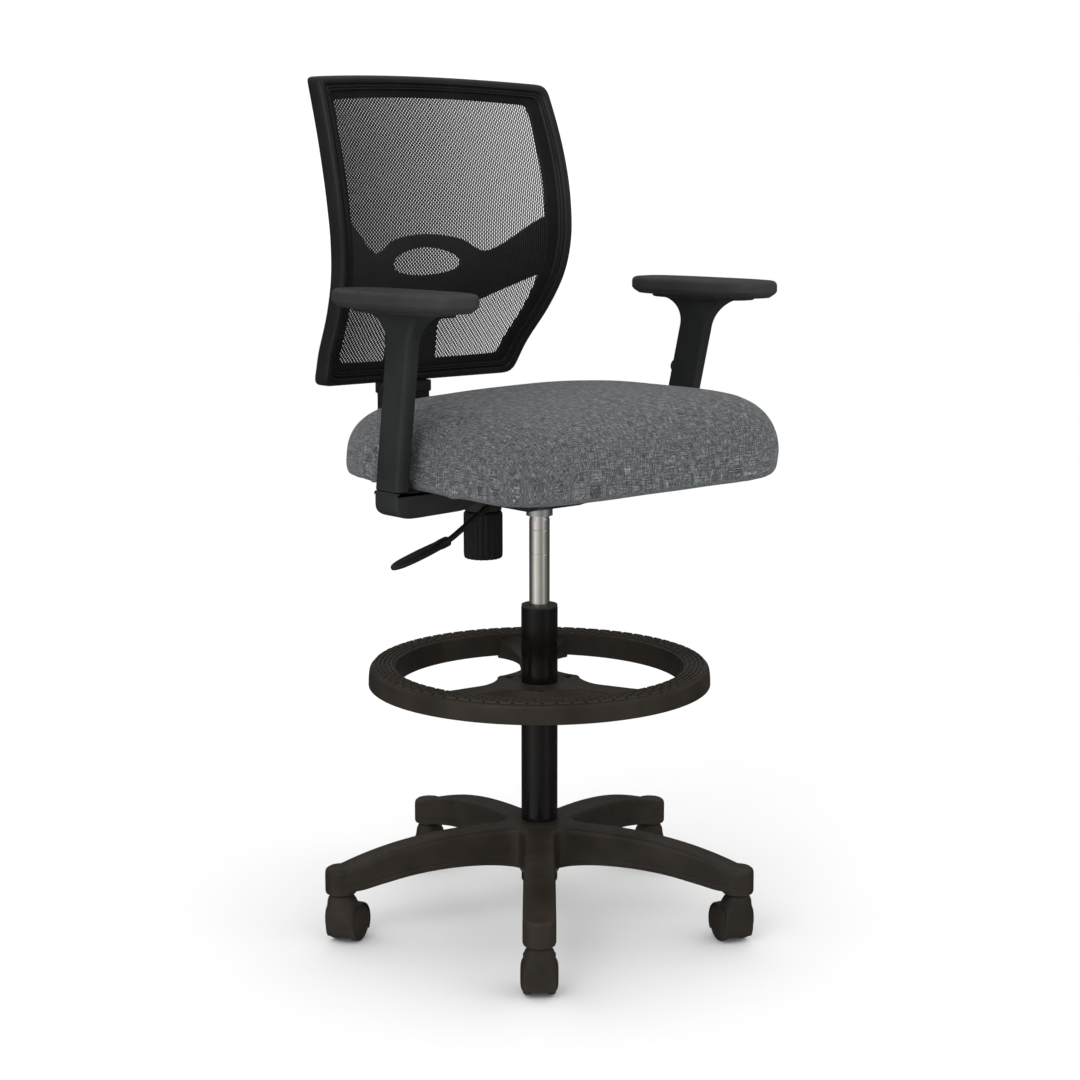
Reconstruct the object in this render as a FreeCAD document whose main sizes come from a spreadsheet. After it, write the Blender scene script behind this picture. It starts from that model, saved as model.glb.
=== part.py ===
"""Drafting chair: castor base, foot ring, gas lift, tilting seat, height-adjustable arms and mesh back.

Frame: millimetres, +Z up, origin on the lift column's axis at floor level. The user faces -Y, and +X is on
the user's left. Every size lives in the spreadsheet "Sizes" and reaches the features by expression.
"""
import FreeCAD, Part
import math
import os
import re

import Sketcher

SIZES = {
    # five-leg base
    "leg_turn": -131.1, "leg_count": 5, "stem_circle": 282, "leg_width": 43, "tip_radius": 21.5,
    "tip_bottom": 73, "tip_top": 108, "hub_radius": 38, "hub_top": 148, "hub_bottom": 76, "leg_wall": 5,
    "leg_root_top": 140, "leg_mid_at": 170, "leg_mid_top": 131, "leg_mid_bottom": 86, "leg_root_bottom": 80,
    "sleeve_wall": 2, "socket_radius": 5.5, "socket_depth": 26,
    # castors
    "wheel_radius": 25, "wheel_inner": 9.5, "wheel_outer": 24.5, "wheel_dome": 3.5, "castor_trail": 20,
    "hood_radius": 28, "hood_half": 17, "hood_gap": 0.8, "hood_skirt": 10, "hood_web_half": 8.8,
    "collar_radius": 16.5, "collar_top": 71, "axle_radius": 3, "axle_gap": 0.05, "stem_low": 54,
    "ring_radius": 5.5, "stem_radius": 4.5, "stem_flange": 8,
    # gas lift
    "tube_radius": 25, "tube_wall": 1.5, "tube_bottom": 62, "tube_top": 450, "tube_floor": 4,
    "bush_length": 70, "lip_height": 3, "cylinder_radius": 14, "cylinder_wall": 1.5, "cylinder_bottom": 190,
    "cylinder_shoulder": 572, "cylinder_top": 600, "taper_radius": 13.2, "rod_radius": 4, "rod_bottom": 54,
    "rod_top": 320, "piston_length": 18, "run_gap": 0.05, "pin_radius": 4, "pin_bottom": 588, "pin_top": 604,
    "bearing_radius": 11, "bearing_thick": 3, "clip_radius": 8, "clip_thick": 1.5,
    # foot ring
    "ring_outer": 234, "ring_inner": 196, "ring_top": 371, "ring_edge": 344, "ring_inside_bottom": 337,
    "ring_wall": 5,
    "spoke_top": 345, "spoke_bottom": 333, "spoke_width": 46, "spoke_turn": 51.9, "spoke_count": 3,
    "collar_outer": 34, "collar_low": 293, "collet_wall": 2.2, "collet_gap": 0.15,
    "screw_turn": -8.1, "screw_radius": 4, "screw_height": 318, "knob_start": 52, "knob_end": 82,
    "small_knob_radius": 9,
    # tilt mechanism
    "housing_half": 46, "sheet_steel": 3, "housing_floor": 588, "housing_front": -88, "housing_back": 100,
    "housing_front_top": 632, "housing_back_top": 598, "pivot_y": -75, "pivot_z": 615, "pivot_radius": 6,
    "housing_nose": 607, "housing_knee": -30, "socket_low": 576, "lug_in": 49, "spring_y": 120,
    "cup_radius": 26, "cup_bottom": 569, "cup_top": 591,
    "retainer_radius": 21, "spring_low": 577, "spring_mean": 15, "spring_wire": 2.2, "spring_pitch": 9.2,
    "bolt_radius": 4, "bolt_top": 588, "big_knob_radius": 27.5, "big_knob_low": 501, "big_knob_high": 567,
    "big_knob_wall": 3, "socket_wall": 4,
    "plate_half": 75, "plate_front": -110, "plate_back": 138,
    # gas lever
    "lever_radius": 4, "lever_height": 608.4, "lever_inner": 8, "bush_radius": 7, "lever_bend_x": -70,
    "lever_mid_x": -156, "lever_mid_z": 559.1, "lever_end_x": -185, "lever_end_z": 551,
    "lever_pivot_x": -36, "lever_boss": 6, "lever_boss_width": 8, "lever_play": 1.4,
    "paddle_length": 88, "paddle_width": 25, "paddle_thick": 8,
    # seat
    "pan_bottom": 638, "pan_thick": 12, "pan_inset": 16, "seat_front": -262, "seat_rear": 208,
    "seat_front_half": 248, "seat_rear_half": 218, "seat_corner": 84, "crown": 748, "seat_round": 34,
    "seat_under_round": 12, "screw_shank": 3, "screw_head": 6, "head_height": 4, "nut_radius": 4.6,
    # arms
    "arm_x": 250, "arm_split": 633, "arm_width": 50, "arm_thick": 19, "arm_lean": 11.3,
    "arm_splay": 2.8, "sleeve_length": 233, "post_width": 40, "post_thick": 10, "post_length": 180,
    "post_gap": 0.4, "bracket_low": 597, "bracket_in": 100,
    "bracket_rise": 26, "bracket_slope": 42, "bracket_corner": 30, "bracket_step": 196,
    "pad_x": 262, "pad_y": -46, "pad_length": 250, "pad_width": 86, "pad_thick": 21, "pad_top": 889,
    "pad_round": 7, "base_length": 176, "base_width": 62, "base_thick": 7, "gusset_drop": 26,
    "button_height": 120, "button_width": 10, "button_tall": 16, "button_out": 4,
    # back support
    "bar_width": 60, "bar_thick": 6, "bar_front": 146, "bar_y": 300, "bar_top": 812, "bar_bend": 36,
    "cover_width": 78, "cover_depth": 26, "cover_wall": 3, "cover_low": 662, "cover_top": 737,
    "lip_grow": 4, "lip_tall": 16,
    # backrest
    "rim_spread": 1.12, "back_sag": 32, "back_depth": 30, "rim_width": 17, "carrier_width": 13,
    "carrier_front": 8, "carrier_depth": 10, "mesh_front": 6.2, "mesh_thick": 1.6, "wing_thick": 8,
    "back_low": 742, "back_top": 1165, "back_low_half": 168, "back_waist_half": 199, "back_waist_z": 890,
    "back_wide_half": 207, "back_wide_z": 1040, "back_shoulder_half": 201, "back_shoulder_z": 1142,
    "back_corner": 20, "lens_half": 61, "lens_low": 891, "lens_high": 929, "lens_flat": 34,
}

# height of each section of the backrest, and how far back the rim's front edge is there
RIM_SECTIONS = ((700, 282), (742, 245), (790, 220), (840, 188), (890, 166), (940, 159), (990, 163),
                (1065, 179), (1140, 204), (1200, 228))
# height of each section of the lumbar wings, their depth at the rim and at the middle
WING_SECTIONS = ((700, 284, 296), (742, 262, 287), (790, 236, 276), (840, 208, 259), (890, 184, 247),
                 (930, 178, 243), (990, 180, 240), (1040, 190, 240))
# right half of the lumbar wings seen from the front: from the arch's peak out to the rim and down the spine
WING_HALF = ((0, 949), (50, 942), (98, 924), (138, 946), (178, 974), (196, 980), (196, 884), (168, 888),
             (97, 852), (56, 836), (42, 818), (44, 780), (52, 744))
# which way each castor trails, in degrees from +X
CASTOR_TRAILS = (48.9, 68.9, 63.9, 33.9, 28.9)

doc = FreeCAD.newDocument("DraftingChair")
sheet = doc.addObject("Spreadsheet::Sheet", "Sizes")
pieces = []


def fill_sheet():
    """Write each size as plain text with its alias beside its name."""
    for row, (name, value) in enumerate(SIZES.items(), start=1):
        sheet.set(f"A{row}", name.replace("_", " "))
        sheet.set(f"B{row}", str(value))
        sheet.setAlias(f"B{row}", name)
    doc.recompute()


def cell_names(text):
    """Point every size named in an expression at the spreadsheet."""
    return re.sub(r"[a-z_]+", lambda word: "Sizes." + word[0] if word[0] in SIZES else word[0], str(text))


def size(text):
    """Value of an expression of sizes, in plain millimetres or degrees."""
    value = sheet.evalExpression(cell_names(text))
    return float(getattr(value, "Value", value))


def bind(thing, **properties):
    for name, text in properties.items():
        thing.setExpression(name, cell_names(text))


def piece(thing, label):
    """Name a finished sub-part: its label is its file's name."""
    thing.Label = label
    pieces.append(thing)
    return thing


def move(thing, x=0, y=0, z=0, axis=(0, 0, 1), angle=0):
    """Turn a sub-part about an axis through its origin, then carry it to a place given as expressions."""
    turn = FreeCAD.Rotation(FreeCAD.Vector(*axis), size(angle))
    thing.Placement = FreeCAD.Placement(FreeCAD.Vector(size(x), size(y), size(z)), turn)
    return thing


def sketch_on(body, role, name):
    plane = next(part for part in body.Origin.OriginFeatures if part.Role == role)
    sketch = body.newObject("Sketcher::SketchObject", name)
    sketch.AttachmentSupport = [(plane, "")]
    sketch.MapMode = "FlatFace"
    return sketch


def pin_point(sketch, edge, end, across, up):
    """Hold one point of a sketch at a distance from its origin given by two expressions."""
    for kind, axis, text in (("DistanceX", -2, across), ("DistanceY", -1, up)):
        if size(text) == 0:
            sketch.addConstraint(Sketcher.Constraint("PointOnObject", edge, end, axis))
        else:
            index = sketch.addConstraint(Sketcher.Constraint(kind, -1, 1, edge, end, size(text)))
            sketch.setExpression(f"Constraints[{index}]", cell_names(text))


def polygon(sketch, points):
    """Closed outline through points given as pairs of expressions."""
    spots = [FreeCAD.Vector(size(across), size(up), 0) for across, up in points]
    first = sketch.GeometryCount
    count = len(spots)
    for index in range(count):
        sketch.addGeometry(Part.LineSegment(spots[index], spots[(index + 1) % count]), False)
    for index in range(count):
        after = first + (index + 1) % count
        sketch.addConstraint(Sketcher.Constraint("Coincident", first + index, 2, after, 1))
    for index, (across, up) in enumerate(points):
        pin_point(sketch, first + index, 1, across, up)


def circles(sketch, spots, radius):
    """Round holes or bosses of one radius at points given as pairs of expressions."""
    for across, up in spots:
        centre = FreeCAD.Vector(size(across), size(up), 0)
        edge = sketch.addGeometry(Part.Circle(centre, FreeCAD.Vector(0, 0, 1), size(radius)), False)
        index = sketch.addConstraint(Sketcher.Constraint("Radius", edge, size(radius)))
        sketch.setExpression(f"Constraints[{index}]", cell_names(radius))
        pin_point(sketch, edge, 3, across, up)


def new_body(name):
    return doc.addObject("PartDesign::Body", name)


def revolve(body, name, profile):
    """Turn a profile of (radius, height) points about the body's Z axis."""
    sketch = sketch_on(body, "XZ_Plane", name + "_profile")
    polygon(sketch, profile)
    turned = body.newObject("PartDesign::Revolution", name)
    turned.Profile = sketch
    turned.ReferenceAxis = (sketch, ["V_Axis"])
    turned.Angle = 360
    return turned


def pad(body, name, role, outline=(), length="1", both_ways=True, holes=(), hole_radius="1", base="0"):
    """Pad an outline with round holes off one of the body's planes, from a height along its normal."""
    sketch = sketch_on(body, role, name + "_outline")
    if outline:
        polygon(sketch, outline)
    circles(sketch, holes, hole_radius)
    bind(sketch, **{"AttachmentOffset.Base.z": base})
    padded = body.newObject("PartDesign::Pad", name)
    padded.Profile = sketch
    padded.Midplane = both_ways
    bind(padded, Length=length)
    return padded


def pocket(body, name, role, outline=(), length="1", both_ways=True, holes=(), hole_radius="1", base="0",
           reverse=False):
    """Cut an outline or round holes out of the body, and prove that something was cut."""
    doc.recompute()
    before = body.Shape.Volume
    sketch = sketch_on(body, role, name + "_outline")
    if outline:
        polygon(sketch, outline)
    circles(sketch, holes, hole_radius)
    bind(sketch, **{"AttachmentOffset.Base.z": base})
    cut = body.newObject("PartDesign::Pocket", name)
    cut.Profile = sketch
    cut.Midplane = both_ways
    cut.Reversed = reverse
    bind(cut, Length=length)
    doc.recompute()
    if body.Shape.Volume >= before:
        raise RuntimeError(name + " cuts nothing")
    return cut


def round_edges(body, name, radius, chosen):
    """Fillet the edges of the body's tip that a test picks out."""
    doc.recompute()
    tip = body.Tip
    names = [f"Edge{index}" for index, edge in enumerate(tip.Shape.Edges, start=1) if chosen(edge)]
    fillet = body.newObject("PartDesign::Fillet", name)
    fillet.Base = (tip, names)
    bind(fillet, Radius=radius)
    return fillet


def runs_along(edge, axis):
    """True for a straight edge parallel to an axis."""
    if not isinstance(edge.Curve, (Part.Line, Part.LineSegment)):
        return False
    start, end = edge.Vertexes[0].Point, edge.Vertexes[-1].Point
    return abs((end - start).normalize().dot(FreeCAD.Vector(*axis))) > 0.999


def cylinder(name, radius, low, high, x="0", y="0"):
    """Upright round bar between two heights."""
    bar = doc.addObject("Part::Cylinder", name)
    bind(bar, Radius=radius, Height=f"({high}) - ({low})")
    bind(bar, **{"Placement.Base.x": x, "Placement.Base.y": y, "Placement.Base.z": low})
    return bar


def laid_bar(name, radius, length, placement):
    """Round bar that starts at a placement and runs along its Z axis."""
    bar = doc.addObject("Part::Cylinder", name)
    bind(bar, Radius=radius, Height=length)
    bar.Placement = placement
    return bar


def box(name, lows, highs):
    """Block between two corners given as expressions."""
    block = doc.addObject("Part::Box", name)
    for side, low, high in zip(("Length", "Width", "Height"), lows, highs):
        bind(block, **{side: f"({high}) - ({low})"})
    for axis, low in zip("xyz", lows):
        bind(block, **{"Placement.Base." + axis: low})
    return block


def carry(block, frame, lows):
    """Set a block's lowest corner in a turned frame in place of its upright one."""
    for axis in "xyz":
        block.setExpression("Placement.Base." + axis, None)
    block.Placement = frame.multiply(at(*lows))
    return block


def combine(kind, name, *shapes):
    """Part::Cut of two shapes, or Part::MultiFuse and Part::MultiCommon of several."""
    joined = doc.addObject("Part::" + kind, name)
    if kind == "Cut":
        joined.Base, joined.Tool = shapes
    else:
        joined.Shapes = list(shapes)
    return joined


def copies(name, master, places):
    """One node of identical separate solids, each a copy of the master at a placement."""
    doc.recompute()
    group = doc.addObject("Part::Feature", name)
    group.Shape = Part.makeCompound([master.Shape.transformed(spot.toMatrix(), True) for spot in places])
    return group


def at(x, y, z, axis=(0, 0, 1), angle=0):
    """Placement at a point given as expressions, turned about an axis."""
    turn = FreeCAD.Rotation(FreeCAD.Vector(*axis), angle)
    return FreeCAD.Placement(FreeCAD.Vector(size(x), size(y), size(z)), turn)


def star_base():
    """Moulded base: a hub with five hollow arched legs, each ending in a round tip with a stem socket."""
    body = new_body("StarBase")
    bore = "tube_radius + sleeve_wall"
    revolve(body, "hub", (
        (bore, "hub_bottom"), ("hub_radius + 3", "hub_bottom"), ("hub_radius", "hub_top - 20"),
        ("hub_radius - 4", "hub_top"), (bore, "hub_top")))
    leg = pad(body, "leg", "XZ_Plane", (
        ("hub_radius - 8", "leg_root_bottom"), ("leg_mid_at", "leg_mid_bottom"),
        ("stem_circle", "tip_bottom + 4"), ("stem_circle", "tip_top + 4"), ("leg_mid_at", "leg_mid_top"),
        ("hub_radius - 8", "leg_root_top")),
        "leg_width - 2")
    tip = pad(body, "tip", "XY_Plane", length="tip_top - tip_bottom", both_ways=False,
              holes=(("stem_circle", "0"),), hole_radius="tip_radius", base="tip_bottom")
    hollow = pocket(body, "leg_hollow", "XZ_Plane", (
        ("hub_radius + 8", "hub_bottom - 9"), ("stem_circle - 34", "hub_bottom - 9"),
        ("stem_circle - 34", "tip_top - leg_wall + 3"), ("leg_mid_at", "leg_mid_top - leg_wall"),
        ("hub_radius + 8", "leg_root_top - leg_wall")), "leg_width - 2 - 2 * leg_wall")
    socket = pocket(body, "stem_socket", "XY_Plane", length="socket_depth", both_ways=False,
                    holes=(("stem_circle", "0"),), hole_radius="socket_radius", base="tip_bottom",
                    reverse=True)
    ring = body.newObject("PartDesign::PolarPattern", "five_legs")
    ring.Originals = [leg, tip, hollow, socket]
    upright_axis = next(part for part in body.Origin.OriginFeatures if part.Role == "Z_Axis")
    ring.Axis = (upright_axis, [""])
    ring.Angle = 360
    bind(ring, Occurrences="leg_count")
    body.Tip = ring
    piece(move(body, angle="leg_turn"), "star_base")

    sleeve = new_body("HubSleeve")
    revolve(sleeve, "sleeve", (("tube_radius", "hub_bottom"), (bore, "hub_bottom"), (bore, "hub_top - 1"),
                               ("tube_radius", "hub_top - 1")))
    piece(sleeve, "hub_sleeve")


def castors():
    """Five twin-wheel castors: stem, hood, axle and a pair of wheels, each hood trailing its own way."""
    stem = new_body("StemMaster")
    revolve(stem, "stem", (
        ("0", "stem_low"), ("stem_radius", "stem_low"), ("stem_radius", "collar_top + 0.3"),
        ("stem_flange", "collar_top + 0.3"), ("stem_flange", "tip_bottom"), ("ring_radius", "tip_bottom"),
        ("ring_radius", "tip_bottom + socket_depth - 1"), ("0", "tip_bottom + socket_depth - 1")))
    stem_spots = []
    for number, trail in enumerate(CASTOR_TRAILS, start=1):
        leg_angle = math.radians(size("leg_turn") + 360 / size("leg_count") * (number - 1))
        x = size("stem_circle") * math.cos(leg_angle)
        y = size("stem_circle") * math.sin(leg_angle)
        stem_spots.append(at(x, y, 0))

        collar = cylinder(f"Collar{number}", "collar_radius", "wheel_radius", "collar_top")
        arch = laid_bar(f"Arch{number}", "hood_radius", "2 * hood_half",
                        at("castor_trail", "hood_half", "wheel_radius", (1, 0, 0), 90))
        whole = combine("MultiFuse", f"HoodBlank{number}", collar, arch)
        clear = "wheel_radius + hood_gap"
        wells = []
        for side in (-1, 1):
            start = "-hood_web_half" if side < 0 else "hood_web_half + wheel_outer"
            wells.append(laid_bar(f"Well{number}{'L' if side < 0 else 'R'}", clear, "wheel_outer",
                                  at("castor_trail", start, "wheel_radius", (1, 0, 0), 90)))
        under = box(f"Under{number}", ("castor_trail - 2 * hood_radius", "-2 * hood_half", "-hood_radius"),
                    ("castor_trail + 2 * hood_radius", "2 * hood_half", "hood_skirt"))
        bore = cylinder(f"StemBore{number}", "stem_radius + run_gap", "stem_low - 0.3", "collar_top + 1")
        cross = laid_bar(f"AxleBore{number}", "axle_radius + axle_gap", "2 * wheel_outer",
                         at("castor_trail", "wheel_outer", "wheel_radius", (1, 0, 0), 90))
        voids = combine("MultiFuse", f"HoodVoids{number}", *wells, under, bore, cross)
        hood = combine("Cut", f"Hood{number}", whole, voids)
        piece(move(hood, x, y, 0, angle=trail), f"castor_hood_{number}")

        wheel = new_body(f"WheelMaster{number}")
        revolve(wheel, f"wheel{number}", (
            ("axle_radius", "wheel_inner"), ("wheel_radius - 1", "wheel_inner"),
            ("wheel_radius", "wheel_inner + 1"), ("wheel_radius", "wheel_outer - wheel_dome - 3"),
            ("wheel_radius - 4", "wheel_outer - wheel_dome + 1"), ("wheel_radius - 13", "wheel_outer"),
            ("0", "wheel_outer"), ("0", "wheel_outer - 2"),
            ("axle_radius", "wheel_outer - 2")))
        pair = [at("castor_trail", 0, "wheel_radius", (1, 0, 0), angle) for angle in (90, -90)]
        wheels = copies(f"Wheels{number}", wheel, pair)
        piece(move(wheels, x, y, 0, angle=trail), f"castor_wheels_{number}")

        across = at(x, y, 0, angle=trail).multiply(
            at("castor_trail", "wheel_outer - 2", "wheel_radius", (1, 0, 0), 90))
        axle = laid_bar(f"Axle{number}", "axle_radius", "2 * wheel_outer - 4", across)
        piece(axle, f"castor_axle_{number}")
    piece(copies("Stems", stem, stem_spots), "castor_stems")


def body_groove(body, name, profile):
    """Cut a turned groove of (radius, height) points round the body's Z axis."""
    doc.recompute()
    before = body.Shape.Volume
    sketch = sketch_on(body, "XZ_Plane", name + "_profile")
    polygon(sketch, profile)
    groove = body.newObject("PartDesign::Groove", name)
    groove.Profile = sketch
    groove.ReferenceAxis = (sketch, ["V_Axis"])
    groove.Angle = 360
    doc.recompute()
    if body.Shape.Volume >= before:
        raise RuntimeError(name + " cuts nothing")
    return groove


def gas_lift():
    """Telescopic column: outer tube and its fittings, piston rod, lift cylinder and release pin."""
    tube = new_body("ColumnTube")
    inner = "tube_radius - tube_wall"
    hole = "rod_radius + run_gap"
    revolve(tube, "tube", ((hole, "tube_bottom"), ("tube_radius", "tube_bottom"), ("tube_radius", "tube_top"),
                           (inner, "tube_top"), (inner, "tube_bottom + tube_floor"),
                           (hole, "tube_bottom + tube_floor")))
    piece(tube, "column_tube")

    bush = new_body("GuideBush")
    slide = "cylinder_radius + run_gap"
    revolve(bush, "bush", ((slide, "tube_top - bush_length"), (inner, "tube_top - bush_length"),
                           (inner, "tube_top"), ("tube_radius - 0.5", "tube_top"),
                           ("tube_radius - 0.5", "tube_top + lip_height"), (slide, "tube_top + lip_height")))
    piece(bush, "guide_bush")

    bearing = new_body("ThrustBearing")
    revolve(bearing, "bearing", (
        (hole, "tube_bottom + tube_floor"), ("bearing_radius", "tube_bottom + tube_floor"),
        ("bearing_radius", "tube_bottom + tube_floor + bearing_thick"),
        (hole, "tube_bottom + tube_floor + bearing_thick")))
    piece(bearing, "thrust_bearing")

    rod = new_body("PistonRod")
    head = "cylinder_radius - cylinder_wall - run_gap"
    revolve(rod, "rod", (
        ("0", "rod_bottom"), ("rod_radius", "rod_bottom"), ("rod_radius", "rod_top"), (head, "rod_top"),
        (head, "rod_top + piston_length"), ("0", "rod_top + piston_length")))
    clip_low = "tube_bottom - clip_thick - 0.5"
    clip_high = "tube_bottom - 0.5"
    rod.Tip = body_groove(rod, "clip_groove", (
        ("rod_radius - 1", clip_low), ("rod_radius + 1", clip_low), ("rod_radius + 1", clip_high),
        ("rod_radius - 1", clip_high)))
    piece(rod, "piston_rod")

    clip = new_body("RetainingClip")
    revolve(clip, "clip", (
        ("rod_radius - 1", clip_low), ("clip_radius", clip_low), ("clip_radius", clip_high),
        ("rod_radius - 1", clip_high)))
    piece(clip, "retaining_clip")

    lift = new_body("LiftCylinder")
    cavity = "cylinder_radius - cylinder_wall"
    revolve(lift, "cylinder", (
        (hole, "cylinder_bottom"), ("cylinder_radius", "cylinder_bottom"),
        ("cylinder_radius", "cylinder_shoulder"), ("taper_radius", "cylinder_top"),
        ("pin_radius + run_gap", "cylinder_top"), ("pin_radius + run_gap", "pin_bottom - 5"),
        ("0", "pin_bottom - 5"), ("0", "pin_bottom - 9"), (cavity, "pin_bottom - 20"),
        (cavity, "cylinder_bottom + 8"), (hole, "cylinder_bottom + 8")))
    piece(lift, "lift_cylinder")
    piece(cylinder("ReleasePin", "pin_radius", "pin_bottom", "pin_top"), "release_pin")


def foot_ring():
    """Ring with a treaded top face on three spokes, its split collet and its clamp screw."""
    rim = new_body("RingRim")
    revolve(rim, "rim", (
        ("ring_inner", "ring_inside_bottom"), ("ring_inner + ring_wall", "ring_inside_bottom"),
        ("ring_inner + ring_wall", "ring_top - ring_wall"),
        ("ring_outer - ring_wall", "ring_top - ring_wall"),
        ("ring_outer - ring_wall", "ring_edge"), ("ring_outer", "ring_edge"), ("ring_outer", "ring_top - 3"),
        ("ring_outer - 3", "ring_top"), ("ring_inner + 3", "ring_top"), ("ring_inner", "ring_top - 3")))
    hub = cylinder("RingHub", "collar_outer", "collar_low", "spoke_top")
    spokes = []
    spoke_lows = ("tube_radius + 4", "-spoke_width / 2", "spoke_bottom")
    for number in range(int(size("spoke_count"))):
        spoke = box(f"Spoke{number}", spoke_lows, ("ring_inner + ring_wall", "spoke_width / 2", "spoke_top"))
        turn = size("spoke_turn") + 360 / size("spoke_count") * number
        spokes.append(carry(spoke, at(0, 0, 0, angle=turn), spoke_lows))
    blank = combine("MultiFuse", "RingBlank", rim, hub, *spokes)
    bore = cylinder("RingBore", "tube_radius + collet_gap + collet_wall", "collar_low - 1", "spoke_top + 1")
    thread = laid_bar("ScrewBore", "screw_radius", "collar_outer + 4",
                      radial("0", "screw_height", size("screw_turn")))
    piece(combine("Cut", "FootRing", blank, combine("MultiFuse", "RingVoids", bore, thread)), "foot_ring")

    collet = new_body("Collet")
    revolve(collet, "collet", (
        ("tube_radius + collet_gap", "collar_low"), ("tube_radius + collet_gap + collet_wall", "collar_low"),
        ("tube_radius + collet_gap + collet_wall", "spoke_top"), ("tube_radius + collet_gap", "spoke_top")))
    piece(collet, "ring_collet")

    screw = new_body("ClampScrew")
    seat = "tube_radius + collet_gap + collet_wall + 0.3"
    revolve(screw, "screw", (
        ("0", seat), ("screw_radius - 0.05", seat), ("screw_radius - 0.05", "knob_start"),
        ("0", "knob_start")))
    screw.Placement = radial("0", "screw_height", size("screw_turn"))
    piece(screw, "clamp_screw")
    grip = new_body("ClampKnob")
    revolve(grip, "grip", (("0", "knob_start"), ("small_knob_radius - 2", "knob_start"),
                           ("small_knob_radius", "knob_start + 4"), ("small_knob_radius", "knob_end - 3"),
                           ("small_knob_radius - 3", "knob_end"), ("0", "knob_end")))
    grip.Placement = radial("0", "screw_height", size("screw_turn"))
    piece(grip, "clamp_knob")


def radial(start, height, angle):
    """Placement that lays a Z-axis piece along a horizontal radius of the column."""
    level = FreeCAD.Rotation(FreeCAD.Vector(0, 1, 0), 90)
    turn = FreeCAD.Rotation(FreeCAD.Vector(0, 0, 1), angle)
    spot = FreeCAD.Vector(size(start), 0, size(height))
    return FreeCAD.Placement(turn.multVec(spot), turn.multiply(level))


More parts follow.
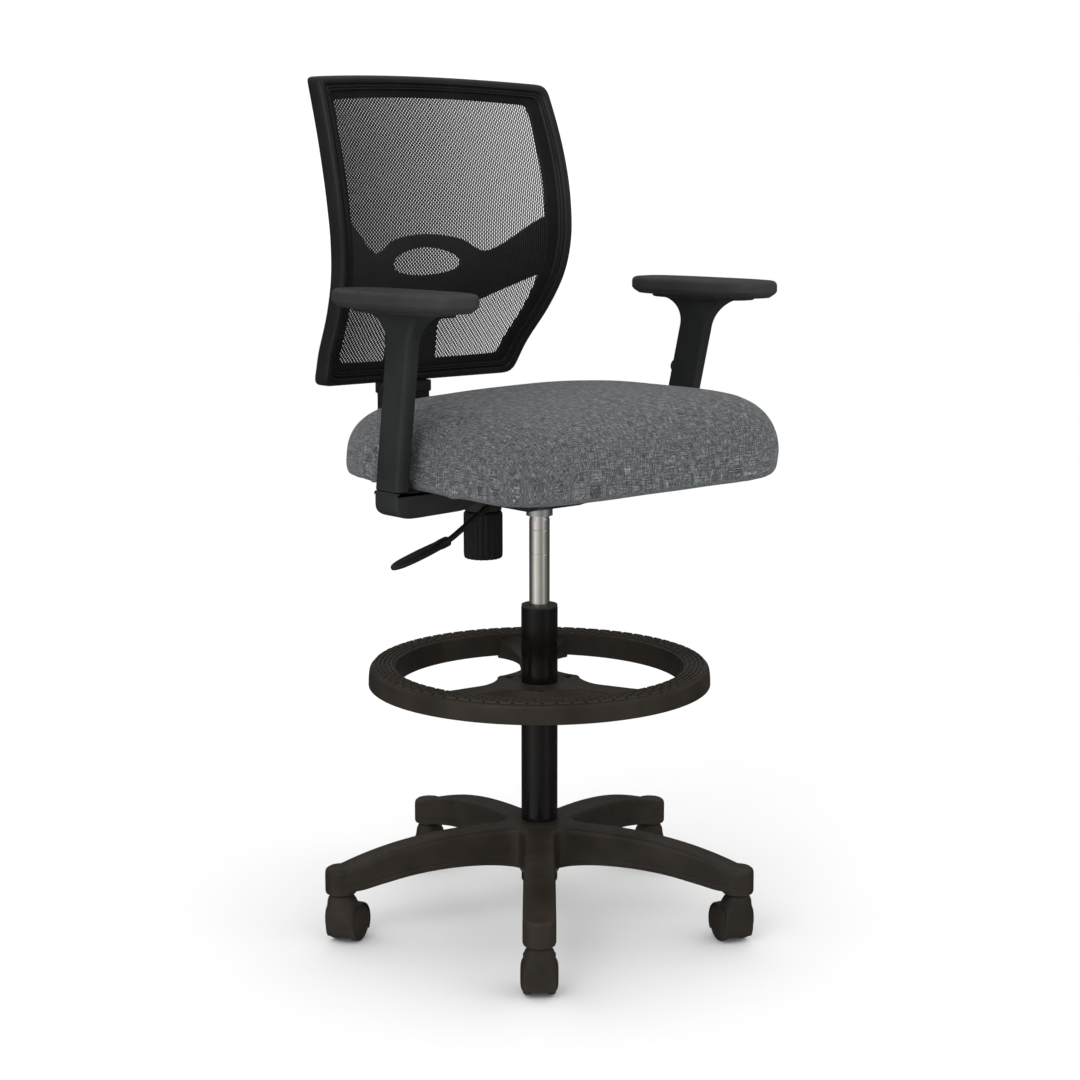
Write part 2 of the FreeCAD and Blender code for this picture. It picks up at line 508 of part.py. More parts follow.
def tilt_mechanism():
    """Sheet-steel tilt box on the lift cylinder: taper socket, pivot, tension spring and its knob."""
    steel = "sheet_steel"
    wall = (("housing_front", "housing_nose"), ("housing_knee", "housing_floor"),
            ("housing_back", "housing_floor"), ("housing_back", "housing_back_top"),
            ("housing_front", "housing_front_top"))
    block = new_body("HousingBlock")
    pad(block, "block", "YZ_Plane", wall, "2 * housing_half")
    pocket(block, "channel", "YZ_Plane", (
        ("housing_front + sheet_steel", "housing_nose + sheet_steel"),
        ("housing_knee", "housing_floor + sheet_steel"),
        ("housing_back - sheet_steel", "housing_floor + sheet_steel"),
        ("housing_back - sheet_steel", "housing_front_top + 9"),
        ("housing_front + sheet_steel", "housing_front_top + 9")), "2 * housing_half - 2 * sheet_steel")
    pocket(block, "pivot_bore", "YZ_Plane", length="3 * housing_half", holes=(("pivot_y", "pivot_z"),),
           hole_radius="pivot_radius + run_gap")
    cup = cylinder("CupOutside", "cup_radius", "cup_bottom", "cup_top", y="spring_y")
    body = combine("MultiFuse", "HousingSolid", block, cup)
    hollow = cylinder("CupInside", "cup_radius - sheet_steel", "cup_bottom + sheet_steel", "cup_top + 1",
                      y="spring_y")
    bolt_hole = cylinder("CupHole", "bolt_radius + 0.3", "cup_bottom - 1", "cup_top", y="spring_y")
    socket_hole = cylinder("SocketHole", "cylinder_radius + socket_wall", "housing_floor - 1",
                           "housing_floor + 9")
    lever_hole = laid_bar("LeverHole", "bush_radius", "2 * sheet_steel",
                          at("-housing_half - sheet_steel / 2", 0, "lever_height", (0, 1, 0), 90))
    voids = combine("MultiFuse", "HousingVoids", hollow, bolt_hole, socket_hole, lever_hole)
    piece(combine("Cut", "Housing", body, voids), "tilt_housing")

    socket = new_body("TaperSocket")
    rise = "(cylinder_radius - taper_radius) / (cylinder_top - cylinder_shoulder)"
    at_floor = f"cylinder_radius - ({rise}) * (socket_low - cylinder_shoulder)"
    revolve(socket, "socket", (
        (at_floor, "socket_low"), ("cylinder_radius + socket_wall", "socket_low"),
        ("cylinder_radius + socket_wall", "cylinder_top"), ("taper_radius", "cylinder_top")))
    piece(socket, "taper_socket")

    piece(laid_bar("PivotShaft", "pivot_radius", "2 * lug_in + 2 * sheet_steel + 6",
                   at("-lug_in - sheet_steel - 3", "pivot_y", "pivot_z", (0, 1, 0), 90)), "pivot_shaft")

    retainer = new_body("Retainer")
    revolve(retainer, "retainer", (
        ("bolt_radius + 0.3", "spring_low - 3"), ("retainer_radius", "spring_low - 3"),
        ("retainer_radius", "spring_low"), ("bolt_radius + 0.3", "spring_low")))
    piece(move(retainer, y="spring_y"), "spring_retainer")

    helix = doc.addObject("Part::Helix", "SpringPath")
    bind(helix, Radius="spring_mean", Pitch="spring_pitch",
         Height="pan_bottom - sheet_steel - spring_low - 2 * spring_wire - 1")
    wire = doc.addObject("Part::Circle", "SpringWire")
    bind(wire, Radius="spring_wire")
    wire.Placement = at("spring_mean", 0, 0, (1, 0, 0), 90)
    spring = doc.addObject("Part::Sweep", "Spring")
    spring.Sections = [wire]
    spring.Spine = (helix, [])
    spring.Solid = True
    spring.Frenet = True
    piece(move(spring, y="spring_y", z="spring_low + spring_wire + 0.5"), "tilt_spring")

    bolt = new_body("TensionBolt")
    revolve(bolt, "bolt", (
        ("0", "big_knob_high - 12"), ("bolt_radius", "big_knob_high - 12"), ("bolt_radius", "bolt_top"),
        ("0", "bolt_top")))
    piece(move(bolt, y="spring_y"), "tension_bolt")
    knob = new_body("TensionKnob")
    revolve(knob, "knob", (
        ("0", "big_knob_high - 12"), ("bolt_radius", "big_knob_high - 12"), ("bolt_radius", "big_knob_high"),
        ("big_knob_radius - 1", "big_knob_high"), ("big_knob_radius", "big_knob_high - 2"),
        ("big_knob_radius", "big_knob_low + 5"), ("big_knob_radius - 3", "big_knob_low"),
        ("big_knob_radius - big_knob_wall - 3", "big_knob_low"),
        ("big_knob_radius - big_knob_wall - 3", "big_knob_high - 30"), ("0", "big_knob_high - 30")))
    piece(move(knob, y="spring_y"), "tension_knob")

    plate = new_body("SeatPlate")
    pad(plate, "plate", "XY_Plane", (
        ("-plate_half", "plate_front"), ("plate_half", "plate_front"), ("plate_half", "plate_back"),
        ("-plate_half", "plate_back")), steel, both_ways=False, holes=plate_spots(),
        hole_radius="screw_shank", base="pan_bottom - sheet_steel")
    lugs = []
    for side in (-1, 1):
        lug = new_body("Lug" + ("Right" if side < 0 else "Left"))
        pad(lug, f"lug{side + 1}", "YZ_Plane", (
            ("pivot_y - 22", "pan_bottom - sheet_steel"), ("pivot_y - 12", "pivot_z - 10"),
            ("pivot_y + 12", "pivot_z - 10"), ("pivot_y + 22", "pan_bottom - sheet_steel")), steel,
            both_ways=True, holes=(("pivot_y", "pivot_z"),), hole_radius="pivot_radius + run_gap")
        lug.Placement = at(f"{side} * (lug_in + sheet_steel / 2)", 0, 0)
        lugs.append(lug)
    piece(combine("MultiFuse", "SeatPlateWithLugs", plate, *lugs), "seat_plate")


def plate_spots():
    """Four bolt holes near the corners of the seat plate."""
    return [(f"{side} * (plate_half - 10)", end) for side in (-1, 1)
            for end in ("plate_front + 14", "plate_back - 14")]


def gas_lever():
    """Bent lever rod with its flat paddle and the bush that it turns in."""
    rod = new_body("LeverRod")
    path = sketch_on(rod, "XZ_Plane", "lever_path")
    start = ("lever_inner", "lever_height")
    bend = ("lever_bend_x", "lever_height")
    second_bend = ("lever_mid_x", "lever_mid_z")
    finish = ("lever_end_x", "lever_end_z")
    for index, (low, high) in enumerate(((start, bend), (bend, second_bend), (second_bend, finish))):
        ends = [FreeCAD.Vector(size(across), size(up), 0) for across, up in (low, high)]
        path.addGeometry(Part.LineSegment(*ends), False)
        pin_point(path, index, 1, *low)
        pin_point(path, index, 2, *high)
    section = sketch_on(rod, "YZ_Plane", "lever_section")
    bind(section, **{"AttachmentOffset.Base.z": "lever_inner"})
    circles(section, (("0", "lever_height"),), "lever_radius")
    pipe = rod.newObject("PartDesign::AdditivePipe", "lever")
    pipe.Profile = section
    pipe.Spine = path
    pipe.Transition = "Round corner"
    boss = laid_bar("LeverBoss", "lever_boss", "lever_boss_width",
                    at("lever_pivot_x", "lever_boss_width / 2", "lever_height", (1, 0, 0), 90))
    piece(combine("MultiFuse", "LeverWithBoss", rod, boss), "lever_rod")

    paddle = new_body("Paddle")
    half = "paddle_width / 2"
    pad(paddle, "blade", "XY_Plane", (
        ("-8", "-7"), ("14", "-8"), ("30", f"-({half})"), ("paddle_length - 22", f"-({half})"),
        ("paddle_length", "-5"), ("paddle_length", "5"), ("paddle_length - 22", half), ("30", half),
        ("14", "8"), ("-8", "7")), "paddle_thick + 3")
    pocket(paddle, "rod_socket", "YZ_Plane", length="40", holes=(("0", "0"),), hole_radius="lever_radius")
    slope = math.degrees(math.atan2(size("lever_mid_z - lever_end_z"), size("lever_mid_x - lever_end_x")))
    turn = FreeCAD.Rotation(FreeCAD.Vector(0, 0, 1), 180).multiply(
        FreeCAD.Rotation(FreeCAD.Vector(0, 1, 0), slope))
    along = turn.multVec(FreeCAD.Vector(size("20"), 0, 0))
    paddle.Placement = FreeCAD.Placement(
        FreeCAD.Vector(size("lever_end_x"), 0, size("lever_end_z")) - along, turn)
    piece(paddle, "lever_paddle")

    bush = new_body("LeverBush")
    revolve(bush, "bush_turning", (
        ("lever_radius + lever_play", "0"), ("bush_radius", "0"), ("bush_radius", "sheet_steel"),
        ("bush_radius + 2", "sheet_steel"), ("bush_radius + 2", "sheet_steel + 2"),
        ("lever_radius + lever_play", "sheet_steel + 2")))
    bush.Placement = at("-housing_half + sheet_steel", 0, "lever_height", (0, 1, 0), -90)
    piece(bush, "lever_bush")


def seat_outline(inset):
    """Corner points of the seat seen from above, drawn in by an inset."""
    return ((f"-(seat_front_half - {inset})", f"seat_front + {inset}"),
            (f"seat_front_half - {inset}", f"seat_front + {inset}"),
            (f"seat_rear_half - {inset}", f"seat_rear - {inset}"),
            (f"-(seat_rear_half - {inset})", f"seat_rear - {inset}"))


def arm_spots():
    """Two bolt holes in each arm bracket's foot."""
    return [(f"{side} * (bracket_in + {along})", "0") for side in (-1, 1) for along in (14, 74)]


def bar_spots():
    """Two bolt holes in the back bar's foot."""
    return [(f"{side} * (bar_width / 2 - 12)", "bar_front + 16") for side in (-1, 1)]


def upright(edge):
    """True for an edge that rises without curving."""
    return runs_along(edge, (0, 0, 1))


def seat():
    """Plywood pan with insert nuts, and the upholstered cushion that wraps round its edge."""
    top = "pan_bottom + pan_thick"
    pan = new_body("SeatPan")
    pad(pan, "pan", "XY_Plane", seat_outline("pan_inset"), "pan_thick", both_ways=False, base="pan_bottom")
    round_edges(pan, "pan_corners", "seat_corner - pan_inset", upright)
    pocket(pan, "nut_bores", "XY_Plane", length="pan_thick", both_ways=False,
           holes=plate_spots() + arm_spots() + bar_spots(), hole_radius="nut_radius", base="pan_bottom",
           reverse=True)
    piece(pan, "seat_pan")

    nut = new_body("NutMaster")
    revolve(nut, "nut", (("screw_shank", "0"), ("nut_radius", "0"), ("nut_radius", "pan_thick"),
                         ("screw_shank", "pan_thick")))
    spots = [at(x, y, "pan_bottom") for x, y in plate_spots() + arm_spots() + bar_spots()]
    piece(copies("InsertNuts", nut, spots), "insert_nuts")

    cushion = new_body("Cushion")
    pad(cushion, "foam", "XY_Plane", seat_outline("0"), "crown - pan_bottom", both_ways=False,
        base="pan_bottom")
    round_edges(cushion, "foam_corners", "seat_corner", upright)
    for name, height, radius in (("foam_top", "crown", "seat_round"),
                                 ("foam_under", "pan_bottom", "seat_under_round")):
        level = size(height)
        round_edges(cushion, name, radius, lambda edge, level=level: all(
            abs(vertex.Z - level) < 0.01 for vertex in edge.Vertexes))
    doc.recompute()
    room = new_body("PanRoom")
    pad(room, "room", "XY_Plane", seat_outline("pan_inset"), "pan_thick + 1", both_ways=False,
        base="pan_bottom - 1")
    round_edges(room, "room_corners", "seat_corner - pan_inset", upright)
    piece(combine("Cut", "CushionOverPan", cushion, room), "seat_cushion")

    screw = screw_master("PlateScrew", "sheet_steel + pan_thick - 2")
    spots = [at(x, y, "pan_bottom - sheet_steel") for x, y in plate_spots()]
    piece(copies("PlateBolts", screw, spots), "plate_bolts")


def screw_master(name, length):
    """Button-head screw standing on its head below Z 0, with its shank rising."""
    screw = new_body(name)
    revolve(screw, name + "_turn", (
        ("0", "-head_height"), ("screw_head", "-head_height"), ("screw_head", "0"), ("screw_shank", "0"),
        ("screw_shank", length), ("0", length)))
    return screw


def arm_turn():
    """Lean of the right-hand arm: forward and outward as it rises."""
    lean = FreeCAD.Rotation(FreeCAD.Vector(1, 0, 0), size("arm_lean"))
    splay = FreeCAD.Rotation(FreeCAD.Vector(0, 1, 0), -size("arm_splay"))
    return splay.multiply(lean)


def arm_place():
    """Placement of the right-hand arm's own frame, whose Z axis is the sleeve's."""
    return FreeCAD.Placement(FreeCAD.Vector(-size("arm_x"), 0, size("arm_split")), arm_turn())


def right_arm():
    """Right-hand arm's bracket, sleeve, pad and height button, with their names."""
    foot = new_body("BracketFoot")
    outer = "arm_x + arm_thick / 2"
    pad(foot, "foot", "XZ_Plane", (
        (f"-({outer})", "bracket_low"), ("-bracket_in - bracket_slope", "bracket_low + 3"),
        ("-bracket_in", "bracket_low + bracket_rise"), ("-bracket_in", "pan_bottom"),
        ("-bracket_step", "pan_bottom"), ("-bracket_step - 16", "bracket_low + 24"),
        ("-(arm_x - arm_thick / 2)", "bracket_low + 26"), ("-(arm_x - arm_thick / 2)", "arm_split - 1"),
        (f"-({outer})", "arm_split - 1")), "arm_width - 4")
    round_edges(foot, "foot_corner", "bracket_corner", lambda edge: runs_along(edge, (0, 1, 0)) and all(
        vertex.X < -size(outer) + 1 and vertex.Z < size("bracket_low") + 1 for vertex in edge.Vertexes))
    pocket(foot, "foot_bores", "XY_Plane", length="90", holes=arm_spots()[:2], hole_radius="screw_shank",
           base="pan_bottom - 20")
    foot.Tip = pocket(foot, "head_bores", "XY_Plane", length="60", both_ways=False, holes=arm_spots()[:2],
                      hole_radius="screw_head + 1", base="pan_bottom - 14", reverse=False)
    post = box("ArmPost", ("-post_thick / 2", "-post_width / 2", "-22"),
               ("post_thick / 2", "post_width / 2", "post_length"))
    carry(post, arm_place(), ("-post_thick / 2", "-post_width / 2", "-22"))
    bracket = combine("MultiFuse", "RightBracket", foot, post)

    shell = box("SleeveShell", ("-arm_thick / 2", "-arm_width / 2", "-8"),
                ("arm_thick / 2", "arm_width / 2", "sleeve_length"))
    carry(shell, arm_place(), ("-arm_thick / 2", "-arm_width / 2", "-8"))
    base_low = "pad_top - pad_thick - base_thick"
    shelf = box("PadShelf", ("-pad_x - base_width / 2", "pad_y - base_length / 2", base_low),
                ("-pad_x + base_width / 2", "pad_y + base_length / 2", "pad_top - pad_thick"))
    gusset = new_body("Gusset")
    pad(gusset, "gusset", "YZ_Plane", (
        ("pad_y - 62", base_low), ("pad_y + 66", base_low), ("pad_y + 34", f"{base_low} - gusset_drop"),
        ("pad_y - 22", f"{base_low} - gusset_drop")), "arm_thick - 2")
    gusset.Placement = at("-pad_x + 1", 0, 0)
    blank = combine("MultiFuse", "SleeveBlank", shell, shelf, gusset)
    above = box("AboveShelf", ("-pad_x - pad_width", "pad_y - pad_length", "pad_top - pad_thick"),
                ("-pad_x + pad_width", "pad_y + pad_length", "pad_top + 90"))
    below = box("BelowSplit", ("-pad_x - pad_width", "-arm_width", "arm_split - 60"),
                ("-pad_x + pad_width", "arm_width", "arm_split + 0.3"))
    room = box("PostRoom", ("0", "0", "-12"), ("post_thick + 2 * post_gap",
               "post_width + 2 * post_gap", "post_length + 2"))
    carry(room, arm_place(), ("-post_thick / 2 - post_gap", "-post_width / 2 - post_gap", "-12"))
    slot = box("ButtonSlot", ("0", "0", "0"), ("button_width + 0.6", "arm_width / 2", "button_tall + 0.6"))
    carry(slot, arm_place(), ("-button_width / 2 - 0.3", "post_width / 2", "button_height - 0.3"))
    voids = combine("MultiFuse", "SleeveVoids", above, below, room, slot)
    sleeve = combine("Cut", "RightSleeve", blank, voids)

    cushion = new_body("PadBody")
    pad(cushion, "pad", "XY_Plane", (
        ("-pad_width / 2", "-pad_length / 2"), ("pad_width / 2", "-pad_length / 2"),
        ("pad_width / 2", "pad_length / 2"), ("-pad_width / 2", "pad_length / 2")), "pad_thick",
        both_ways=False)
    round_edges(cushion, "pad_corners", "pad_width / 2 - 6", upright)
    level = size("pad_thick")
    round_edges(cushion, "pad_rim", "pad_round", lambda edge: all(
        abs(vertex.Z - level) < 0.01 for vertex in edge.Vertexes))
    cushion.Placement = at("-pad_x", "pad_y", "pad_top - pad_thick")

    button = box("Button", ("0", "0", "0"),
                 ("button_width", "(arm_width - post_width) / 2 + button_out - 3.6", "button_tall"))
    carry(button, arm_place(), ("-button_width / 2", "post_width / 2 + 3.6", "button_height"))
    return {"arm_bracket": bracket, "arm_sleeve": sleeve, "arm_pad": cushion, "height_button": button}


def arms():
    """Both arms: the right-hand pieces as made, and mirrored left-hand ones."""
    for name, right in right_arm().items():
        piece(right, name + "_right")
        left = doc.addObject("Part::Mirroring", right.Name + "Mirror")
        left.Source = right
        left.Normal = FreeCAD.Vector(1, 0, 0)
        piece(left, name + "_left")
    screw = screw_master("ArmScrew", "14 + pan_thick - 2")
    spots = [at(x, y, "pan_bottom - 14") for x, y in arm_spots()]
    piece(copies("ArmBolts", screw, spots), "arm_bolts")


def back_support():
    """Bent flat bar from the seat pan up to the backrest, its bolts and its stepped cover."""
    bar = new_body("BackBar")
    low = "pan_bottom - bar_thick"
    front = "bar_y - bar_thick / 2"
    rear = "bar_y + bar_thick / 2"
    pad(bar, "bar", "YZ_Plane", (("bar_front", low), (rear, low), (rear, "bar_top"), (front, "bar_top"),
                                 (front, "pan_bottom"), ("bar_front", "pan_bottom")), "bar_width")
    for name, radius, y, z in (("outer_bend", "bar_bend + bar_thick", rear, low),
                               ("inner_bend", "bar_bend", front, "pan_bottom")):
        corner = (size(y), size(z))
        round_edges(bar, name, radius, lambda edge, corner=corner: runs_along(edge, (1, 0, 0)) and
                    math.dist((edge.Vertexes[0].Y, edge.Vertexes[0].Z), corner) < 0.1)
    pocket(bar, "bar_bores", "XY_Plane", length="30", holes=bar_spots(), hole_radius="screw_shank",
           base="pan_bottom")
    pocket(bar, "frame_bores", "XZ_Plane", length="30", holes=frame_spots(), hole_radius="screw_shank",
           base="-bar_y")
    piece(bar, "back_bar")

    screw = screw_master("BarScrew", "bar_thick + pan_thick - 2")
    piece(copies("BarBolts", screw, [at(x, y, low) for x, y in bar_spots()]), "bar_bolts")
    screw = screw_master("FrameScrew", "bar_thick + 7")
    spots = [at(x, rear, z, (1, 0, 0), 90) for x, z in frame_spots()]
    piece(copies("BackScrews", screw, spots), "back_screws")

    def tube(name, grow, low_end, high_end):
        return box(name, (f"-cover_width / 2 - {grow}", f"bar_y - cover_depth / 2 - {grow}", low_end),
                   (f"cover_width / 2 + {grow}", f"bar_y + cover_depth / 2 + {grow}", high_end))

    outside = combine("MultiFuse", "CoverOutside", tube("CoverLower", "0", "cover_low", "cover_top"),
                      tube("CoverLip", "lip_grow / 2", "cover_top - lip_tall", "cover_top"))
    inside = tube("CoverInside", "-cover_wall", "cover_low - 1", "cover_top + 1")
    cover = combine("Cut", "BarCover", outside, inside)
    piece(cover, "bar_cover")


def frame_spots():
    """Four screw holes that hold the backrest's spine to the bar."""
    return [(f"{side} * (bar_width / 2 - 14)", height) for side in (-1, 1)
            for height in ("bar_top - 12", "bar_top - 44")]


def lofted_slab(name, sections, half, front, thick):
    """Curved slab through sections of (height, depth at the half width, depth at the middle)."""
    wires = []
    for height, side, middle in sections:
        edges = []
        for offset in (front, front + thick):
            ends = [FreeCAD.Vector(sign * half, side + offset, height) for sign in (-1, 1)]
            arc = Part.Arc(ends[0], FreeCAD.Vector(0, middle + offset, height), ends[1])
            edges.append(arc.toShape())
        sides = [Part.LineSegment(FreeCAD.Vector(sign * half, side + front, height),
                                  FreeCAD.Vector(sign * half, side + front + thick, height)).toShape()
                 for sign in (-1, 1)]
        wires.append(Part.Wire(Part.__sortEdges__(edges + sides)))
    slab = doc.addObject("Part::Feature", name)
    slab.Shape = Part.makeLoft(wires, True, False)
    return slab


def rim_slab(name, front, thick):
    """Slab that follows the backrest's curve, sagging back between its sides."""
    half = size("back_wide_half")
    spread = size("rim_spread")
    sag = size("back_sag")
    sections = [(height, edge - sag * (spread ** 2 - 1), edge + sag) for height, edge in RIM_SECTIONS]
    return lofted_slab(name, sections, half * spread, front, thick)


def prism(name, points):
    """Upright face through (x, z) points, mirrored across X 0 and extruded along Y through the backrest."""
    mirrored = list(points) + [(-x, z) for x, z in reversed(points) if x > 0]
    vectors = [FreeCAD.Vector(x, 0, z) for x, z in mirrored]
    wire = Part.makePolygon(vectors + vectors[:1])
    solid = doc.addObject("Part::Feature", name)
    solid.Shape = Part.Face(wire).extrude(FreeCAD.Vector(0, 2 * size("bar_y"), 0))
    return solid


def back_half(inset):
    """Right half of the backrest's outline, drawn in by an inset, from the top's middle to the bottom's."""
    corner = max(size("back_corner") - inset, 4)
    top_at = size("back_shoulder_half") - inset
    points = [(0, size("back_top") - inset), (top_at * 0.5, size("back_top") - inset - 4),
              (top_at - corner, size("back_shoulder_z") + 10 - inset),
              (top_at - corner * 0.3, size("back_shoulder_z") + 5 - inset),
              (top_at + 1, size("back_shoulder_z") - 4 - inset)]
    for half, height in (("back_wide_half", "back_wide_z"), ("back_wide_half - 1", "back_wide_z - 70"),
                         ("back_waist_half + 4", "back_waist_z + 45"), ("back_waist_half", "back_waist_z"),
                         ("back_waist_half - 9", "back_waist_z - 50"),
                         ("back_waist_half - 21", "back_waist_z - 100")):
        points.append((size(half) - inset, size(height)))
    low_half = size("back_low_half") - inset * 0.9
    low = size("back_low") + inset
    points += [(low_half + 3, low + 12), (low_half - 2, low + 4), (low_half - 12, low), (0, low - 4)]
    return points


def lens():
    """Eye-shaped window over the lumbar spine."""
    half, low, high, flat = (size(name) for name in ("lens_half", "lens_low", "lens_high", "lens_flat"))
    return [(0, high), (half * 0.5, high - 7), (half, high - 22), (flat, low), (0, low)]


def backrest():
    """Moulded frame with its lumbar wings, the carrier ring behind the mesh, and the mesh."""
    width = size("rim_width")
    inner = width + size("carrier_width")
    rim = combine("MultiCommon", "RimSolid", rim_slab("RimSlab", 0, size("back_depth")),
                  prism("RimOutside", back_half(0)))
    rim = combine("Cut", "Rim", rim, prism("RimInside", back_half(width)))
    wings = lofted_slab("WingSlab", WING_SECTIONS, size("back_wide_half - 22"), 0, size("wing_thick"))
    wings = combine("MultiCommon", "WingSolid", wings, prism("WingOutside", WING_HALF))
    wings = combine("Cut", "Wings", wings, prism("Lens", lens()))
    spine = box("SpineBlock", ("-bar_width / 2 + 2", "bar_y - bar_thick / 2 - 18", "back_low - 4"),
                ("bar_width / 2 - 2", "bar_y - bar_thick / 2", "bar_top"))
    holes = []
    for number, (x, z) in enumerate(frame_spots()):
        holes.append(laid_bar(f"FrameHole{number}", "screw_shank", "7",
                              at(x, "bar_y - bar_thick / 2", z, (1, 0, 0), 90)))
    room = box("BarRoom", ("-bar_width / 2 - 0.3", "bar_y - bar_thick / 2", "back_low - 60"),
               ("bar_width / 2 + 0.3", "bar_y + 90", "bar_top + 1"))
    frame = combine("MultiFuse", "FrameBlank", rim, wings, spine)
    frame = combine("Cut", "FrameOpen", frame, combine("MultiFuse", "FrameVoids", room, *holes))
    clear_slab = rim_slab("ClearSlab", 0, size("carrier_front + carrier_depth"))
    clear = combine("MultiCommon", "CarrierRoom", clear_slab, prism("ClearInside", back_half(width)))
    piece(combine("Cut", "BackFrame", frame, clear), "back_frame")

    carrier = combine("MultiCommon", "CarrierSolid",
                      rim_slab("CarrierSlab", size("carrier_front"), size("carrier_depth")),
                      prism("CarrierOutside", back_half(width)))
    piece(combine("Cut", "Carrier", carrier, prism("CarrierInside", back_half(inner))), "mesh_carrier")
    mesh = combine("MultiCommon", "Mesh", rim_slab("MeshSlab", size("mesh_front"), size("mesh_thick")),
                   prism("MeshOutside", back_half(width + 0.4)))
    piece(mesh, "mesh_panel")


def check_and_write():
    """Refuse any failed object or bad shape, then write one STEP file for each sub-part."""
    doc.recompute()
    for thing in doc.Objects:
        if "Invalid" in thing.State or "Error" in thing.State:
            raise RuntimeError(f"{thing.Name} ({thing.Label}) failed: {thing.State}")
    os.makedirs("parts", exist_ok=True)
    for sub_part in pieces:
        shape = sub_part.Shape
        if shape.isNull() or not shape.isValid() or not shape.Solids:
            raise RuntimeError(sub_part.Label + " has no valid solid")
        shape.exportStep(f"parts/{sub_part.Label}.step")
        print(f"{sub_part.Label}: {len(shape.Solids)} solid(s), {shape.Volume / 1000:.1f} cm3")


fill_sheet()
star_base()
castors()
gas_lift()
foot_ring()
tilt_mechanism()
gas_lever()
seat()
arms()
back_support()
backrest()
check_and_write()
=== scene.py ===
"""Looks of a drafting chair: net back, two arms, padded seat, foot ring, gas lift and a castor base.

Shapes are worked out in millimetres in the chair's own frame: X to the sitter's left, Y to the back, Z up
from the floor under the column. make_piece turns them into metres.
"""
import math

import bmesh
import bpy
import numpy as np
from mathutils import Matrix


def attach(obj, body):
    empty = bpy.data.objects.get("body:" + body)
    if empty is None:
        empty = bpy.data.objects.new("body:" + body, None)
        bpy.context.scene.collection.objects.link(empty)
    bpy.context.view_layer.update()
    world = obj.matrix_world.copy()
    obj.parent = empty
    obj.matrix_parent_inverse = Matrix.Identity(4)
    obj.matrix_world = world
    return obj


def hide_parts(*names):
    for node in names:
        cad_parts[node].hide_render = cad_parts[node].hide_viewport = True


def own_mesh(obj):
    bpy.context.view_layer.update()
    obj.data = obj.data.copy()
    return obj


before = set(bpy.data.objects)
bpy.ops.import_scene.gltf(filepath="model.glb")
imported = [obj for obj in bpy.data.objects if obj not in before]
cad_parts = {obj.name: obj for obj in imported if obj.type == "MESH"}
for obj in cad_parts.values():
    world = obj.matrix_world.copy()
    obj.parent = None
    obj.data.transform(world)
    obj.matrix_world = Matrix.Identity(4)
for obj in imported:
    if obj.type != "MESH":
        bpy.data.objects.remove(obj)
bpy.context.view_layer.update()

MM = 0.001
TURN = 2 * math.pi


# ---- how shapes are made ----

def grid_faces(rows, columns, rows_close=False, columns_close=False):
    """Quads between neighbouring points of a grid, whose rows or columns may close on themselves."""
    row = np.arange(rows if rows_close else rows - 1)[:, None]
    column = np.arange(columns if columns_close else columns - 1)[None, :]
    next_row, next_column = (row + 1) % rows, (column + 1) % columns
    corners = ((row, column), (row, next_column), (next_row, next_column), (next_row, column))
    return np.stack(np.broadcast_arrays(*[r * columns + c for r, c in corners]), -1).reshape(-1, 4)


def surface(points, rows_close=False, columns_close=False):
    """A grid of points as vertices and quads."""
    points = np.asarray(points, float)
    return points.reshape(-1, 3), grid_faces(*points.shape[:2], rows_close, columns_close).tolist()


def loft(rings, flat_ends=False):
    """Closed rings of points carried along a path, as a shell with flat faces or a fan over each end."""
    rings = np.asarray(rings, float)
    if not flat_ends:
        middles = [np.broadcast_to(ring.mean(0), ring.shape) for ring in (rings[0], rings[-1])]
        return surface([middles[0], *rings, middles[1]], columns_close=True)
    vertices, faces = surface(rings, columns_close=True)
    count = rings.shape[1]
    return vertices, faces + [list(range(count)), list(range(len(vertices) - count, len(vertices)))]


def turned(profile, count=64, loop=False):
    """A (radius, height) profile turned about Z: x = radius cos a, y = radius sin a."""
    radius, height = np.asarray(profile, float).T
    angle = np.linspace(0, TURN, count, endpoint=False)
    points = np.stack(np.broadcast_arrays(radius[:, None] * np.cos(angle), radius[:, None] * np.sin(angle),
                                          height[:, None]), -1)
    return surface(points, loop, True)


def placed(shape, origin=(0, 0, 0), x_axis=(1, 0, 0), y_axis=(0, 1, 0), z_axis=(0, 0, 1)):
    """A shape moved into a frame: origin + x x_axis + y y_axis + z z_axis."""
    vertices, faces = shape
    return vertices @ np.array([x_axis, y_axis, z_axis], float) + np.asarray(origin, float), faces


def spun(shape, degrees, x=0, y=0):
    """A shape turned about Z, then moved across the floor."""
    c, s = math.cos(math.radians(degrees)), math.sin(math.radians(degrees))
    return placed(shape, (x, y, 0), (c, s, 0), (-s, c, 0))


def mirrored(shape):
    """A shape's other hand, across X 0."""
    vertices, faces = shape
    return vertices * (-1, 1, 1), faces


def rounded(corners, radius, steps=6, closed=True):
    """A polygon whose corners become quadratic curves (1-t)^2 a + 2t(1-t) corner + t^2 b, where a and b lie a
    radius away along its sides."""
    corners = np.asarray(corners, float)
    radius = np.broadcast_to(np.asarray(radius, float), len(corners))[:, None]
    ends = []
    for other in (np.roll(corners, 1, 0), np.roll(corners, -1, 0)):
        gap = other - corners
        length = np.linalg.norm(gap, axis=1, keepdims=True)
        ends.append(corners + gap / length * np.minimum(radius, length / 2))
    t = np.linspace(0, 1, steps)[None, :, None]
    curve = ((1 - t) ** 2 * ends[0][:, None] + 2 * t * (1 - t) * corners[:, None] + t ** 2 * ends[1][:, None])
    if not closed:
        curve[0], curve[-1] = corners[0], corners[-1]
    return curve.reshape(-1, corners.shape[1])


